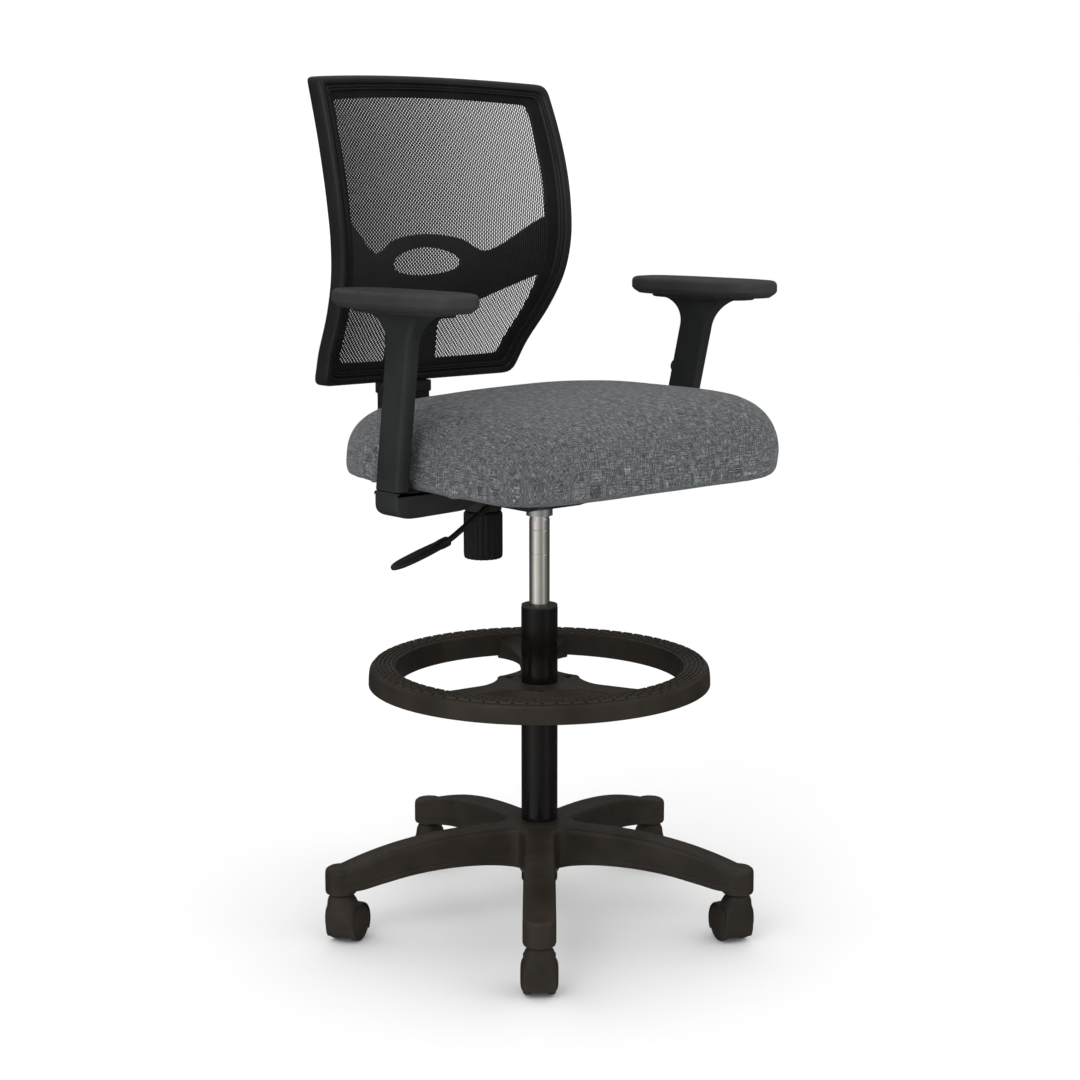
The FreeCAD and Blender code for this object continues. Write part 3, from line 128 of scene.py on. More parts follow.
def spread(points, count, closed=True):
    """A line's points moved to even spacing along it."""
    points = np.asarray(points, float)
    if closed:
        points = np.concatenate([points, points[:1]])
    length = np.concatenate([[0], np.cumsum(np.linalg.norm(np.diff(points, axis=0), axis=1))])
    places = np.linspace(0, length[-1], count, endpoint=not closed)
    return np.stack([np.interp(places, length, column) for column in points.T], -1)


def drawn_in(outline, distance):
    """A closed outline moved inwards along its own normals."""
    outline = np.asarray(outline, float)
    along = np.roll(outline, -1, 0) - np.roll(outline, 1, 0)
    normal = np.stack([along[:, 1], -along[:, 0]], -1)
    normal /= np.maximum(np.linalg.norm(normal, axis=1, keepdims=True), 1e-9)
    area = np.sum(outline[:, 0] * np.roll(outline[:, 1], -1) - np.roll(outline[:, 0], -1) * outline[:, 1])
    return outline - math.copysign(1, area) * normal * distance


def slab(outline, low, high, low_round=1.0, high_round=1.0, steps=4):
    """A flat outline given a thickness, with each rim a quarter round: drawn in r (1 - sin a) at r (1 - cos a)
    from its face."""
    angle = np.linspace(0, math.pi / 2, steps)
    levels = [(low_round * (1 - math.sin(a)), low + low_round * (1 - math.cos(a))) for a in angle]
    levels += [(high_round * (1 - math.sin(a)), high - high_round * (1 - math.cos(a))) for a in angle[::-1]]
    rings = []
    for inset, height in levels:
        ring = drawn_in(outline, inset)
        rings.append(np.column_stack([ring, np.full(len(ring), height)]))
    return loft(rings, flat_ends=True)


def eased(x, knots, values):
    """Cubic curve through knots, each knot's slope being that between its neighbours."""
    knots, values = np.asarray(knots, float), np.asarray(values, float)
    slope = np.gradient(values, knots)
    x = np.clip(x, knots[0], knots[-1])
    i = np.clip(np.searchsorted(knots, x) - 1, 0, len(knots) - 2)
    width = knots[i + 1] - knots[i]
    t = (x - knots[i]) / width
    return ((2 * t ** 3 - 3 * t ** 2 + 1) * values[i] + (t ** 3 - 2 * t ** 2 + t) * width * slope[i]
            + (3 * t ** 2 - 2 * t ** 3) * values[i + 1] + (t ** 3 - t ** 2) * width * slope[i + 1])


def tube(path, radius, count=20):
    """A round bar along a path in the plane Y 0: each ring stands square to the path."""
    path = np.asarray(path, float)
    along = np.gradient(path, axis=0)
    along /= np.linalg.norm(along, axis=1, keepdims=True)
    up = np.stack([-along[:, 2], along[:, 1], along[:, 0]], -1)
    angle = np.linspace(0, TURN, count, endpoint=False)[:, None]
    rings = [centre + radius * (np.cos(angle) * side + np.sin(angle) * np.array([0, 1, 0]))
             for centre, side in zip(path, up)]
    return loft(rings)


def make_piece(name, shapes, look, body, *stands_for, sharp=32):
    """Joins shapes in millimetres into one piece in metres: doubles merged, faces turned outwards, and only
    edges over the sharp angle kept crisp."""
    vertices, faces, start = [], [], 0
    for points, polygons in shapes:
        vertices.append(np.asarray(points) * MM)
        faces += [[corner + start for corner in polygon] for polygon in polygons]
        start += len(points)
    mesh = bpy.data.meshes.new(name)
    mesh.from_pydata(np.concatenate(vertices).tolist(), [], faces)
    form = bmesh.new()
    form.from_mesh(mesh)
    bmesh.ops.remove_doubles(form, verts=form.verts, dist=2e-6)
    bmesh.ops.recalc_face_normals(form, faces=form.faces)
    form.to_mesh(mesh)
    form.free()
    mesh.shade_smooth()
    mesh.set_sharp_from_angle(angle=math.radians(sharp))
    return show(bpy.data.objects.new(name, mesh), look, body, *stands_for)


def show(made, look, body, *stands_for):
    """Puts a piece in the scene with its finish, its body and the nodes that it stands for."""
    if made.name not in bpy.context.scene.objects:
        bpy.context.collection.objects.link(made)
    made.data.materials.clear()
    made.data.materials.append(LOOKS[look])
    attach(made, body)
    if stands_for:
        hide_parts(*stands_for)
    return made


# ---- finishes ----

def node(tree, kind, inputs=(), **settings):
    """Adds a shader node, sets its fields, and sets or wires its sockets."""
    made = tree.nodes.new("ShaderNode" + kind)
    for key, value in settings.items():
        setattr(made, key, value)
    for socket, value in dict(inputs).items():
        if isinstance(value, bpy.types.NodeSocket):
            tree.links.new(value, made.inputs[socket])
        else:
            made.inputs[socket].default_value = value
    return made


def blank(name):
    """A new material's node tree, with its shader."""
    made = bpy.data.materials.new(name)
    made.use_nodes = True
    tree = made.node_tree
    return made, tree, tree.nodes["Principled BSDF"]


def mixed(tree, factor, first, second, how="MIX"):
    """Colour between two others."""
    return node(tree, "Mix", {0: factor, 6: first, 7: second}, data_type="RGBA", blend_type=how).outputs[2]


def ranged(tree, value, low, high, to_low, to_high):
    """A value carried from one range to another."""
    return node(tree, "MapRange", {"Value": value, "From Min": low, "From Max": high, "To Min": to_low,
                                   "To Max": to_high}).outputs[0]


def noise(tree, where, scale, detail=3.0, rough=0.55):
    """Noise at a scale per metre, read at a place."""
    return node(tree, "TexNoise", {"Vector": where, "Scale": scale, "Detail": detail, "Roughness": rough})


def moulded(name, dark, light, rough, grain=0.9, depth=0.25, wear=0.25, coat=0.0, metallic=0.0, shine=0.22,
            rise=0.00025):
    """Moulded, painted or drawn finish: two tones in slow clouds, a paler worn edge, roughness that wanders,
    and a raised grain of a size in millimetres."""
    made, tree, shader = blank(name)
    where = node(tree, "TexCoord").outputs["Object"]
    clouds = noise(tree, where, 14, 4).outputs[0]
    colour = mixed(tree, ranged(tree, clouds, 0.35, 0.65, 0, 1), (*dark, 1), (*light, 1))
    edge = node(tree, "NewGeometry").outputs["Pointiness"]
    worn = tuple(min(1, 1.9 * part + 0.01) for part in light)
    colour = mixed(tree, ranged(tree, edge, 0.52, 0.62, 0, wear), colour, (*worn, 1))
    scuff = noise(tree, where, 90, 5).outputs[0]
    grains = noise(tree, where, 1000 / grain, 2).outputs[0]
    bump = node(tree, "Bump", {"Strength": depth, "Distance": rise, "Height": grains})
    tree.links.new(colour, shader.inputs["Base Color"])
    tree.links.new(ranged(tree, scuff, 0.3, 0.7, rough - 0.06, rough + 0.07), shader.inputs["Roughness"])
    tree.links.new(bump.outputs[0], shader.inputs["Normal"])
    shader.inputs["Coat Weight"].default_value = coat
    shader.inputs["Coat Roughness"].default_value = 0.12
    shader.inputs["Metallic"].default_value = metallic
    shader.inputs["Specular IOR Level"].default_value = shine
    return made


def woven_cloth(name):
    """Melange plain weave on the cloth's own UV map, in metres: long slubs along each set of threads, the two
    sets passing over and under each other."""
    made, tree, shader = blank(name)
    place = node(tree, "UVMap", uv_map="weave").outputs[0]
    slubs = []
    for stretch in ((70, 620, 1), (560, 64, 1)):
        along = node(tree, "Mapping", {"Vector": place, "Scale": stretch}).outputs[0]
        slubs.append(noise(tree, along, 1.0, 3, 0.7).outputs[0])
    pitch = TURN / 0.0021
    waves = node(tree, "Mapping", {"Vector": place, "Scale": (pitch, pitch, 1)}).outputs[0]
    parts = node(tree, "SeparateXYZ", {0: waves})
    sines = [node(tree, "Math", {0: parts.outputs[axis]}, operation="SINE").outputs[0] for axis in (0, 1)]
    cross = node(tree, "Math", {0: sines[0], 1: sines[1]}, operation="MULTIPLY").outputs[0]
    over = ranged(tree, cross, -0.35, 0.35, 0, 1)
    thread = node(tree, "Mix", {0: over, 2: slubs[0], 3: slubs[1]}).outputs[0]
    tones = node(tree, "ValToRGB", {0: thread})
    ramp = tones.color_ramp
    for index, (stop, tone) in enumerate(((0.36, (0.016, 0.018, 0.020)), (0.46, (0.050, 0.053, 0.056)),
                                          (0.53, (0.098, 0.102, 0.105)), (0.64, (0.34, 0.36, 0.37)))):
        mark = ramp.elements[index] if index < 2 else ramp.elements.new(stop)
        mark.position, mark.color = stop, (*tone, 1)
    streak = node(tree, "Mapping", {"Vector": place, "Scale": (18, 260, 1)}).outputs[0]
    streak = noise(tree, streak, 1.0, 2, 0.6).outputs[0]
    colour = mixed(tree, ranged(tree, streak, 0.42, 0.66, 0, 0.5), tones.outputs[0], (0.80, 0.92, 1.0, 1),
                   "MULTIPLY")
    rise = node(tree, "Math", {0: cross, 1: thread}, operation="ADD").outputs[0]
    bump = node(tree, "Bump", {"Strength": 0.55, "Distance": 0.0005, "Height": rise})
    tree.links.new(colour, shader.inputs["Base Color"])
    tree.links.new(bump.outputs[0], shader.inputs["Normal"])
    tree.links.new(ranged(tree, thread, 0.3, 0.7, 0.95, 0.8), shader.inputs["Roughness"])
    shader.inputs["Sheen Weight"].default_value = 0.08
    shader.inputs["Sheen Roughness"].default_value = 0.5
    return made


def layered_wood(name):
    """Plywood: thin plies across Z, each a little lighter or darker, under a grain stretched along X."""
    made, tree, shader = blank(name)
    where = node(tree, "TexCoord").outputs["Object"]
    parts = node(tree, "SeparateXYZ", {0: where})
    plies = node(tree, "Math", {0: parts.outputs[2], 1: TURN / 0.0034}, operation="MULTIPLY").outputs[0]
    plies = node(tree, "Math", {0: plies}, operation="SINE").outputs[0]
    along = node(tree, "Mapping", {"Vector": where, "Scale": (6, 90, 90)}).outputs[0]
    grain = noise(tree, along, 1.5, 6).outputs[0]
    colour = mixed(tree, grain, (0.32, 0.19, 0.09, 1), (0.55, 0.38, 0.21, 1))
    colour = mixed(tree, ranged(tree, plies, -0.5, 0.5, 0, 0.45), colour, (0.22, 0.12, 0.055, 1))
    bump = node(tree, "Bump", {"Strength": 0.2, "Distance": 0.0004, "Height": grain})
    tree.links.new(colour, shader.inputs["Base Color"])
    tree.links.new(bump.outputs[0], shader.inputs["Normal"])
    tree.links.new(ranged(tree, grain, 0.3, 0.7, 0.55, 0.75), shader.inputs["Roughness"])
    return made


LOOKS = {
    "nylon": moulded("nylon", (0.0165, 0.0122, 0.0088), (0.027, 0.0208, 0.0152), 0.46, grain=0.8, depth=0.5),
    "tube_paint": moulded("tube_paint", (0.0035, 0.0028, 0.0024), (0.006, 0.005, 0.0044), 0.2, grain=3, depth=0.06,
                          wear=0.1, coat=0.1, shine=0.16),
    "chrome": moulded("chrome", (0.62, 0.59, 0.55), (0.72, 0.69, 0.65), 0.16, grain=6, depth=0.03, wear=0.1,
                      metallic=1.0, shine=0.5),
    "steel": moulded("steel", (0.30, 0.31, 0.30), (0.42, 0.43, 0.42), 0.34, grain=1.2, depth=0.2, metallic=1.0,
                     shine=0.5),
    "black_steel": moulded("black_steel", (0.009, 0.009, 0.009), (0.014, 0.014, 0.014), 0.42, grain=0.7,
                           depth=0.35),
    "arm_plastic": moulded("arm_plastic", (0.0135, 0.0145, 0.0145), (0.0195, 0.0207, 0.0205), 0.42, grain=0.7,
                           depth=0.3),
    "pad_skin": moulded("pad_skin", (0.024, 0.0245, 0.024), (0.034, 0.035, 0.0345), 0.5, grain=0.6, depth=0.4),
    "back_plastic": moulded("back_plastic", (0.0075, 0.0075, 0.0075), (0.0115, 0.0115, 0.0115), 0.4, grain=0.7,
                            depth=0.3),
    "net_yarn": moulded("net_yarn", (0.006, 0.006, 0.0065), (0.011, 0.011, 0.012), 0.68, grain=0.5, depth=0.5),
    "net_border": moulded("net_border", (0.004, 0.004, 0.0042), (0.0075, 0.0075, 0.008), 0.85, grain=1.6,
                          depth=0.9, wear=0.0),
    "control": moulded("control", (0.006, 0.006, 0.006), (0.0105, 0.0105, 0.0105), 0.5, grain=0.6, depth=0.35),
    "bush_plastic": moulded("bush_plastic", (0.018, 0.017, 0.016), (0.028, 0.027, 0.025), 0.5),
    "seat_cloth": woven_cloth("seat_cloth"),
    "plywood": layered_wood("plywood"),
}


# ---- backrest ----

RIM_HEIGHTS = (700, 742, 790, 840, 890, 940, 990, 1065, 1140, 1200)
RIM_DEPTHS = (282, 245, 220, 188, 166, 159, 163, 179, 204, 228)
SIDE_HEIGHTS = (738, 745, 790, 840, 890, 935, 970, 1040, 1100, 1158)
SIDE_HALVES = (171, 171.5, 179, 190, 199, 204, 206, 207, 205, 201.5)
BACK_SAG = 32
BACK_HALF = 207
NET_DEPTH = 11.5
BORDER = 31


def rim_front(x, z):
    """Front of the rim's own curve: its side line by height, sagging back between the sides as a parabola."""
    return eased(z, RIM_HEIGHTS, RIM_DEPTHS) + BACK_SAG * (1 - (x / BACK_HALF) ** 2)


def back_outline(inset, soft=3):
    """The backrest's outline in X and Z, drawn in by an inset: arched top edge, waisted sides and a straight
    bottom edge, every line at the same count of points, and corners softened by a moving average."""
    low, high = 741 + inset, 1158 - inset * 0.95
    side = np.linspace(high, low, 84, endpoint=False)
    half = eased(side, SIDE_HEIGHTS, SIDE_HALVES) - inset
    top_half, low_half = half[0], eased(low, SIDE_HEIGHTS, SIDE_HALVES) - inset * 0.95
    across = np.linspace(-1, 1, 80, endpoint=False)
    top = np.stack([across * top_half, high + 7 * (1 - across ** 2)], -1)
    across = np.linspace(1, -1, 68, endpoint=False)
    bottom = np.stack([across * low_half, low - 3 * (1 - across ** 2)], -1)
    left = np.stack([half, side], -1)
    right = np.stack([-half[::-1], side[::-1]], -1)
    outline = np.concatenate([top, left, bottom, right])
    weights = np.array([1, 2, 3, 4, 3, 2, 1], float)[3 - soft:4 + soft]
    turns = [np.roll(outline, shift, 0) * weight for shift, weight in zip(range(-soft, soft + 1), weights)]
    return sum(turns) / weights.sum()


def rim_ring(inset, depth):
    """One line of the rim, at an inset from the edge and a depth behind the rim's front."""
    outer, inner = back_outline(0), back_outline(BORDER, 2)
    flat = outer + (inner - outer) * inset / BORDER
    x, z = flat.T
    return np.stack([x, rim_front(x, z) + depth, z], -1)


def back_rim():
    """Rounded rim with two beads inside it, carried round the outline as a closed section."""
    section = [(0.6, 28.5), (0, 26), (0, 8), (0.5, 4.6), (1.8, 2), (3.6, 0.5), (6, 0), (8.6, 0.5), (10.4, 1.8),
               (11.4, 3.6), (12, 4.6), (12.8, 4.5), (13.4, 3.2), (14.4, 2.6), (15.4, 3.2), (16.0, 5.0),
               (16.8, 5.4), (17.4, 4.3), (18.3, 3.9), (19.2, 4.5), (19.8, 6.4), (20.4, 7.5), (20.6, 15.5),
               (16.5, 16.5), (16.0, 28.5), (15, 30), (3, 30)]
    rings = [rim_ring(inset, depth) for inset, depth in section]
    return surface(rings, rows_close=True, columns_close=True)


def net_front(x, z):
    """Front of the net inside its border."""
    return rim_front(x, z) + NET_DEPTH


def net_border():
    """Doubled cloth band from under the beads to the net, a thin closed band round the outline."""
    section = [(19.0, 8.2), (21, 8.3), (25, 9.4), (29, 10.9), (30.6, 11.4), (31.4, 12.0), (30.8, 12.8),
               (25, 11.6), (19.0, 10.2)]
    rings = [rim_ring(inset, depth) for inset, depth in section]
    return surface(rings, rows_close=True, columns_close=True)


def inside(x, z, outline):
    """True where a point lies in a closed outline: it crosses an odd number of the outline's sides."""
    crossings = np.zeros(np.broadcast(x, z).shape, int)
    for (x0, z0), (x1, z1) in zip(outline, np.roll(outline, -1, 0)):
        if z0 == z1:
            continue
        level = (z0 > z) != (z1 > z)
        crossings += level & (x < (x1 - x0) * (z - z0) / (z1 - z0) + x0)
    return crossings % 2 == 1


NET_PITCH = 3.0
NET_PERIOD = 5.2
YARN_WIDE = 2.5
YARN_THICK = 1.0


def net():
    """Knitted net: upright yarns of three-sided section that step left and right, each touching one
    neighbour and then the other, so that they leave staggered holes."""
    edge = back_outline(28.5, 2)
    count = int(2 * BACK_HALF / NET_PITCH)
    lines = (np.arange(count) - (count - 1) / 2) * NET_PITCH
    levels = np.arange(760, 1144, NET_PERIOD / 4)
    step = np.array([1, 1, -1, -1])[np.arange(len(levels)) % 4] * (NET_PITCH - YARN_WIDE) / 2
    side = np.where(np.arange(count) % 2 == 0, 1, -1)
    x = lines[:, None] + step[None, :] * side[:, None] * 1.04
    z = np.broadcast_to(levels, x.shape)
    y = net_front(x, z)
    kept = inside(x, z, edge)
    across = np.array([-YARN_WIDE / 2, YARN_WIDE / 2, 0])
    back = np.array([0.15, 0.15, YARN_THICK])
    points = np.stack(np.broadcast_arrays(x[..., None] + across, y[..., None] + back, z[..., None]), -1)
    ring = np.arange(count * len(levels) * 3).reshape(count, len(levels), 3)
    both = kept[:, :-1] & kept[:, 1:]
    low, high = ring[:, :-1][both], ring[:, 1:][both]
    quads = np.stack([low, np.roll(low, -1, 1), np.roll(high, -1, 1), high], -1).reshape(-1, 4)
    before, after = np.pad(both, ((0, 0), (1, 0))), np.pad(both, ((0, 0), (0, 1)))
    ends = [ring[after & ~before].tolist(), ring[before & ~after][:, ::-1].tolist()]
    used, renumbered = np.unique(np.concatenate([quads.ravel(), np.ravel(ends[0]), np.ravel(ends[1])]),
                                 return_inverse=True)
    quads = renumbered[:quads.size].reshape(-1, 4)
    caps = renumbered[quads.size:].reshape(-1, 3)
    return points.reshape(-1, 3)[used], quads.tolist() + caps.tolist()


def wing_front(x, z):
    """Front of the lumbar bridge: a parabola from its rim ends back to its middle, at each height."""
    heights = (700, 742, 790, 840, 890, 930, 990, 1040)
    end = eased(z, heights, (284, 262, 236, 208, 184, 178, 180, 190))
    middle = eased(z, heights, (296, 287, 276, 259, 247, 243, 240, 240))
    return middle + (end - middle) * (x / 185) ** 2


WING_TOP = ((0, 30, 60, 98, 118, 138, 160, 178, 192), (948, 946, 940, 923, 931, 945, 962, 973, 978))
WING_LOW = ((0, 42, 56, 97, 130, 168, 192), (822, 822, 834, 852, 868, 887, 886))
WING_THICK = 8
LENS_TIP = 64


def rounded_edge(low, high, count=9):
    """Round the section of a board: shares of the way from low to high, with depths that round its edges."""
    reach = np.maximum(high - low, 1)
    shares = np.array([0, 0.6, 2.2]) / reach[..., None]
    middle = np.linspace(0.2, 0.8, count)
    middle = np.broadcast_to(middle, (*reach.shape, count))
    share = np.concatenate([shares, middle, 1 - shares[..., ::-1]], -1)
    depth = np.concatenate([[3.2, 1.2, 0], np.zeros(count), [0, 1.2, 3.2]])
    share = np.concatenate([share, share[..., ::-1]], -1)
    depth = np.concatenate([depth, WING_THICK - depth[::-1]])
    return share, np.broadcast_to(depth, share.shape)


def wings():
    """Lumbar bridge: a wing each side, and round the eye-shaped window a ring that carries on down into the
    spine."""
    x = np.linspace(LENS_TIP - 2, 190, 44)
    low, high = np.interp(x, *WING_LOW), eased(x, *WING_TOP)
    share, depth = rounded_edge(low, high)
    z = low[:, None] + (high - low)[:, None] * share
    across = np.broadcast_to(x[:, None], z.shape)
    wing = loft(np.stack([across, wing_front(across, z) + depth, z], -1))

    turn = np.linspace(0, TURN, 96, endpoint=False)
    c, s = np.cos(turn), np.sin(turn)
    eye_x = 61 * np.sign(c) * np.abs(c) ** 1.15
    eye_z = 908 + np.where(s > 0, 21 * np.abs(s) ** 1.15, -18 * np.abs(s) ** 0.75)
    out_x = np.clip(92 * c, -LENS_TIP, LENS_TIP)
    roof = eased(np.abs(out_x), *WING_TOP)
    out_z = np.where(s > 0, np.minimum(908 + 110 * s, roof), np.maximum(908 - 130 * -s, 826))
    share, depth = rounded_edge(np.zeros(96), np.full(96, 34.0))
    ring_x = eye_x[:, None] + (out_x - eye_x)[:, None] * share
    ring_z = eye_z[:, None] + (out_z - eye_z)[:, None] * share
    eye = surface(np.stack([ring_x, wing_front(ring_x, ring_z) + depth, ring_z], -1), True, True)

    z = np.linspace(741, 845, 26)
    half = eased(z, (741, 760, 790, 825, 845), (52, 47, 43, 42, 60))
    share, depth = rounded_edge(-half, half)
    across = -half[:, None] + 2 * half[:, None] * share
    level = np.broadcast_to(z[:, None], across.shape)
    spine = loft(np.stack([across, wing_front(across * 0.6, level) + depth * 1.4, level], -1))
    return [wing, mirrored(wing), eye, spine]


def carrier():
    """Ring behind the border that the net is stretched over."""
    section = [(17, 15), (18, 13.4), (30, 13.2), (31, 14), (31, 19), (30, 20), (18, 20), (17, 19)]
    return surface([rim_ring(inset, depth) for inset, depth in section], True, True)


def backrest():
    """Rim, lumbar bridge, border, net and the ring behind them."""
    make_piece("back_shell", [back_rim(), *wings()], "back_plastic", "seat", "back_frame")
    make_piece("net_carrier", [carrier()], "back_plastic", "seat", "mesh_carrier")
    edging = make_piece("net_edging", [net_border()], "net_border", "seat")
    cloth = make_piece("back_net", [net()], "net_yarn", "seat", "mesh_panel")


# ---- seat ----

SEAT_MIDDLE = np.array([0.0, -27.0])
SEAT_ROLL = math.tan(math.radians(1.2))


def seat_outline(count=160):
    """The seat from above: a rounded trapezium, wider at the front."""
    corners = ((-248, -262), (248, -262), (219, 208), (-219, 208))
    line = rounded(corners, (92, 92, 110, 110), 14)
    line = spread(line, count)
    for _ in range(3):
        line = (np.roll(line, 1, 0) + 2 * line + np.roll(line, -1, 0)) / 4
    return line


def seat_form(shrink=0.0):
    """The padded seat: rings drawn in from the outline, from the cloth folded under the pan, round the widest
    line and up over the crown. The crown falls away as a square towards the front and the back, the front
    edge lifts, and the padding sits a little lower to the right."""
    profile = [(46, 644), (44, 637), (36, 636), (20, 634), (10, 633.6), (4, 636), (1.2, 642), (0, 652), (0, 664),
               (2, 680), (6.5, 696), (14, 711), (25, 723), (40, 731.5), (62, 737.5), (90, 741.5),
               (125, 744.5), (165, 746.5), (200, 747.3), (228, 747.6)]
    outline = seat_outline()
    front_edge = np.clip((-outline[:, 1] - 200) / 60, 0, 1)
    rings = []
    for inset, height in profile:
        ring = SEAT_MIDDLE + (outline - SEAT_MIDDLE) * (1 - (inset + shrink) / 232)
        lift, low = max(0.0, (height - 668) / 80), np.clip((668 - height) / 30, 0, 1)
        fall = np.clip((-ring[:, 1] - 120) / 142, 0, 1.2) ** 2 * 10
        rear = np.clip((ring[:, 1] + 20) / 230, 0, 1.2) ** 2 * 30
        out = 1 - np.clip((inset - 2) / 9, 0, 1) if height < 645 else 1
        level = height - shrink * lift - lift * (fall + rear) + out * (9 * low * front_edge + ring[:, 0] * SEAT_ROLL)
        rings.append(np.column_stack([ring, level]))
    return rings


def cushion():
    """Padded seat: the form a little small, remeshed, swelled by a cloth simulation under slight pressure with
    its movement capped, subdivided once, and given a weave map."""
    made = make_piece("seat_padding", [loft(seat_form(2.5))], "seat_cloth", "seat", "seat_cushion")
    scene = bpy.context.scene
    bpy.context.view_layer.objects.active = made
    remesh = made.modifiers.new("even_mesh", "REMESH")
    remesh.mode, remesh.voxel_size = "VOXEL", 0.0055
    settle(made)
    before = vertex_places(made.data)
    cloth = made.modifiers.new("swelling", "CLOTH")
    cloth.settings.use_pressure = True
    cloth.settings.uniform_pressure_force = 4.0
    cloth.settings.tension_stiffness = cloth.settings.compression_stiffness = 18
    cloth.settings.bending_stiffness = 2.0
    cloth.settings.effector_weights.gravity = 0
    for step in range(1, 17):
        scene.frame_set(step)
    settle(made)
    scene.frame_set(1)
    after = vertex_places(made.data)
    move = after - before
    length = np.linalg.norm(move, axis=1, keepdims=True)
    cap = 0.0075
    after = before + move * np.minimum(1, cap / np.maximum(length, 1e-9))
    under = np.clip((0.652 - before[:, 2]) / 0.006, 0, 1)[:, None]
    after = after * (1 - under) + before * under
    made.data.vertices.foreach_set("co", after.astype(np.float32).ravel())
    smoother = made.modifiers.new("soft", "SMOOTH")
    smoother.factor, smoother.iterations = 0.5, 3
    finer = made.modifiers.new("finer", "SUBSURF")
    finer.levels = finer.render_levels = 1
    settle(made)
    places = vertex_places(made.data)
    places += tension_folds(places, made.data)
    made.data.vertices.foreach_set("co", places.astype(np.float32).ravel())
    made.data.update()
    weave_map(made.data)
    made.data.shade_smooth()


def vertex_places(mesh):
    """A mesh's vertices as an array."""
    places = np.empty(len(mesh.vertices) * 3)
    mesh.vertices.foreach_get("co", places)
    return places.reshape(-1, 3)


def vertex_normals(mesh):
    """A mesh's vertex normals as an array."""
    normals = np.empty(len(mesh.vertices) * 3)
    mesh.vertex_normals.foreach_get("vector", normals)
    return normals.reshape(-1, 3)


def settle(made):
    """Applies a piece's modifiers to its mesh."""
    graph = bpy.context.evaluated_depsgraph_get()
    mesh = bpy.data.meshes.new_from_object(made.evaluated_get(graph))
    made.modifiers.clear()
    made.data = mesh


def tension_folds(places, mesh):
    """Small moves along the normals: slow waves all over, and short folds that gather at the corners under the
    widest line."""
    x, y, z = places.T / MM
    turn = np.arctan2(y + 27, x)
    corner = np.exp(-((np.abs(np.abs(x) - 190) / 70) ** 2) - ((np.abs(np.abs(y + 27) - 190) / 80) ** 2))
    low = np.exp(-((z - 656) / 16) ** 2)
    slow = 0.5 * np.sin(x / 31 + 1.3 * np.sin(y / 47)) * np.sin(y / 37 + 0.8 * np.sin(x / 53 + 1))
    folds = 0.9 * corner * low * np.sin(turn * 70)
    return vertex_normals(mesh) * ((slow + folds) * MM)[:, None]


def weave_map(mesh):
    """Lays the cloth flat: from above, plus the fall below the crown laid outwards along the normal."""
    places, normals = vertex_places(mesh), vertex_normals(mesh)
    fall = np.maximum(0, 0.748 - places[:, 2])[:, None] * normals[:, :2]
    flat = places[:, :2] + fall
    corners = np.empty(len(mesh.loops), np.int32)
    mesh.loops.foreach_get("vertex_index", corners)
    layer = mesh.uv_layers.new(name="weave")
    layer.data.foreach_set("uv", flat[corners].astype(np.float32).ravel())


# ---- arms ----

ARM_X, SPLIT, LEAN, SPLAY = 250, 633, math.radians(11.3), math.radians(2.8)
PAD_LOW, PAD_X, PAD_Y = 868, 262, -46


def arm_axis():
    """Direction of the right-hand sleeve: leaning forward, then splayed outward."""
    return np.array([-math.sin(SPLAY) * math.cos(LEAN), -math.sin(LEAN), math.cos(SPLAY) * math.cos(LEAN)])


def arm_centre(z):
    """The sleeve's centre line at a height."""
    axis = arm_axis()
    return np.array([-ARM_X, 0, SPLIT]) + axis * (z - SPLIT) / axis[2]


def sleeve_section(long_half, thick_half):
    """Level section of the sleeve: flat towards the seat, full and rounded on its outer side."""
    corners = ((thick_half, -long_half), (thick_half, long_half), (-thick_half, long_half),
               (-thick_half, -long_half))
    return rounded(corners, (3, 3, 9, 9), 7)


def sleeve():
    """The arm's sleeve: level sections up the leaning line, spreading into the pad's shelf as a concave
    curve near the top, with a fine groove above the split."""
    shapes = []
    heights = np.concatenate([[SPLIT + 0.3, SPLIT + 0.6, SPLIT + 1.4], np.linspace(SPLIT + 4, 820, 24),
                              np.linspace(823, 861.5, 18)])
    rings = []
    for z in heights:
        rise = np.clip((z - 822) / 40, 0, 1)
        flare = 1 - math.sqrt(max(0.0, 1 - rise ** 2))
        start = min(1.0, (z - SPLIT) / 1.4)
        centre = arm_centre(z)
        long_half = 25 + 44 * flare - 1.2 * (1 - start)
        thick_half = 9.5 + 12 * flare - 1.2 * (1 - start)
        ring = sleeve_section(long_half, thick_half)
        rings.append(np.column_stack([ring + centre[:2], np.full(len(ring), z)]))
    shapes.append(loft(rings, flat_ends=True))
    outline = pad_outline(176, 62)
    shapes.append(slab(outline, 860.5, 867.6, 3.5, 0.5))
    return shapes


def pad_outline(length, width, count=120):
    """An arm pad from above: long sides a little full, ends nearly half round."""
    turn = np.linspace(0, TURN, count, endpoint=False)
    c, s = np.cos(turn), np.sin(turn)
    x = -PAD_X + width / 2 * np.sign(c) * np.abs(c) ** 0.62
    y = PAD_Y + length / 2 * np.sign(s) * np.abs(s) ** 0.72
    return spread(np.stack([x, y], -1), count)


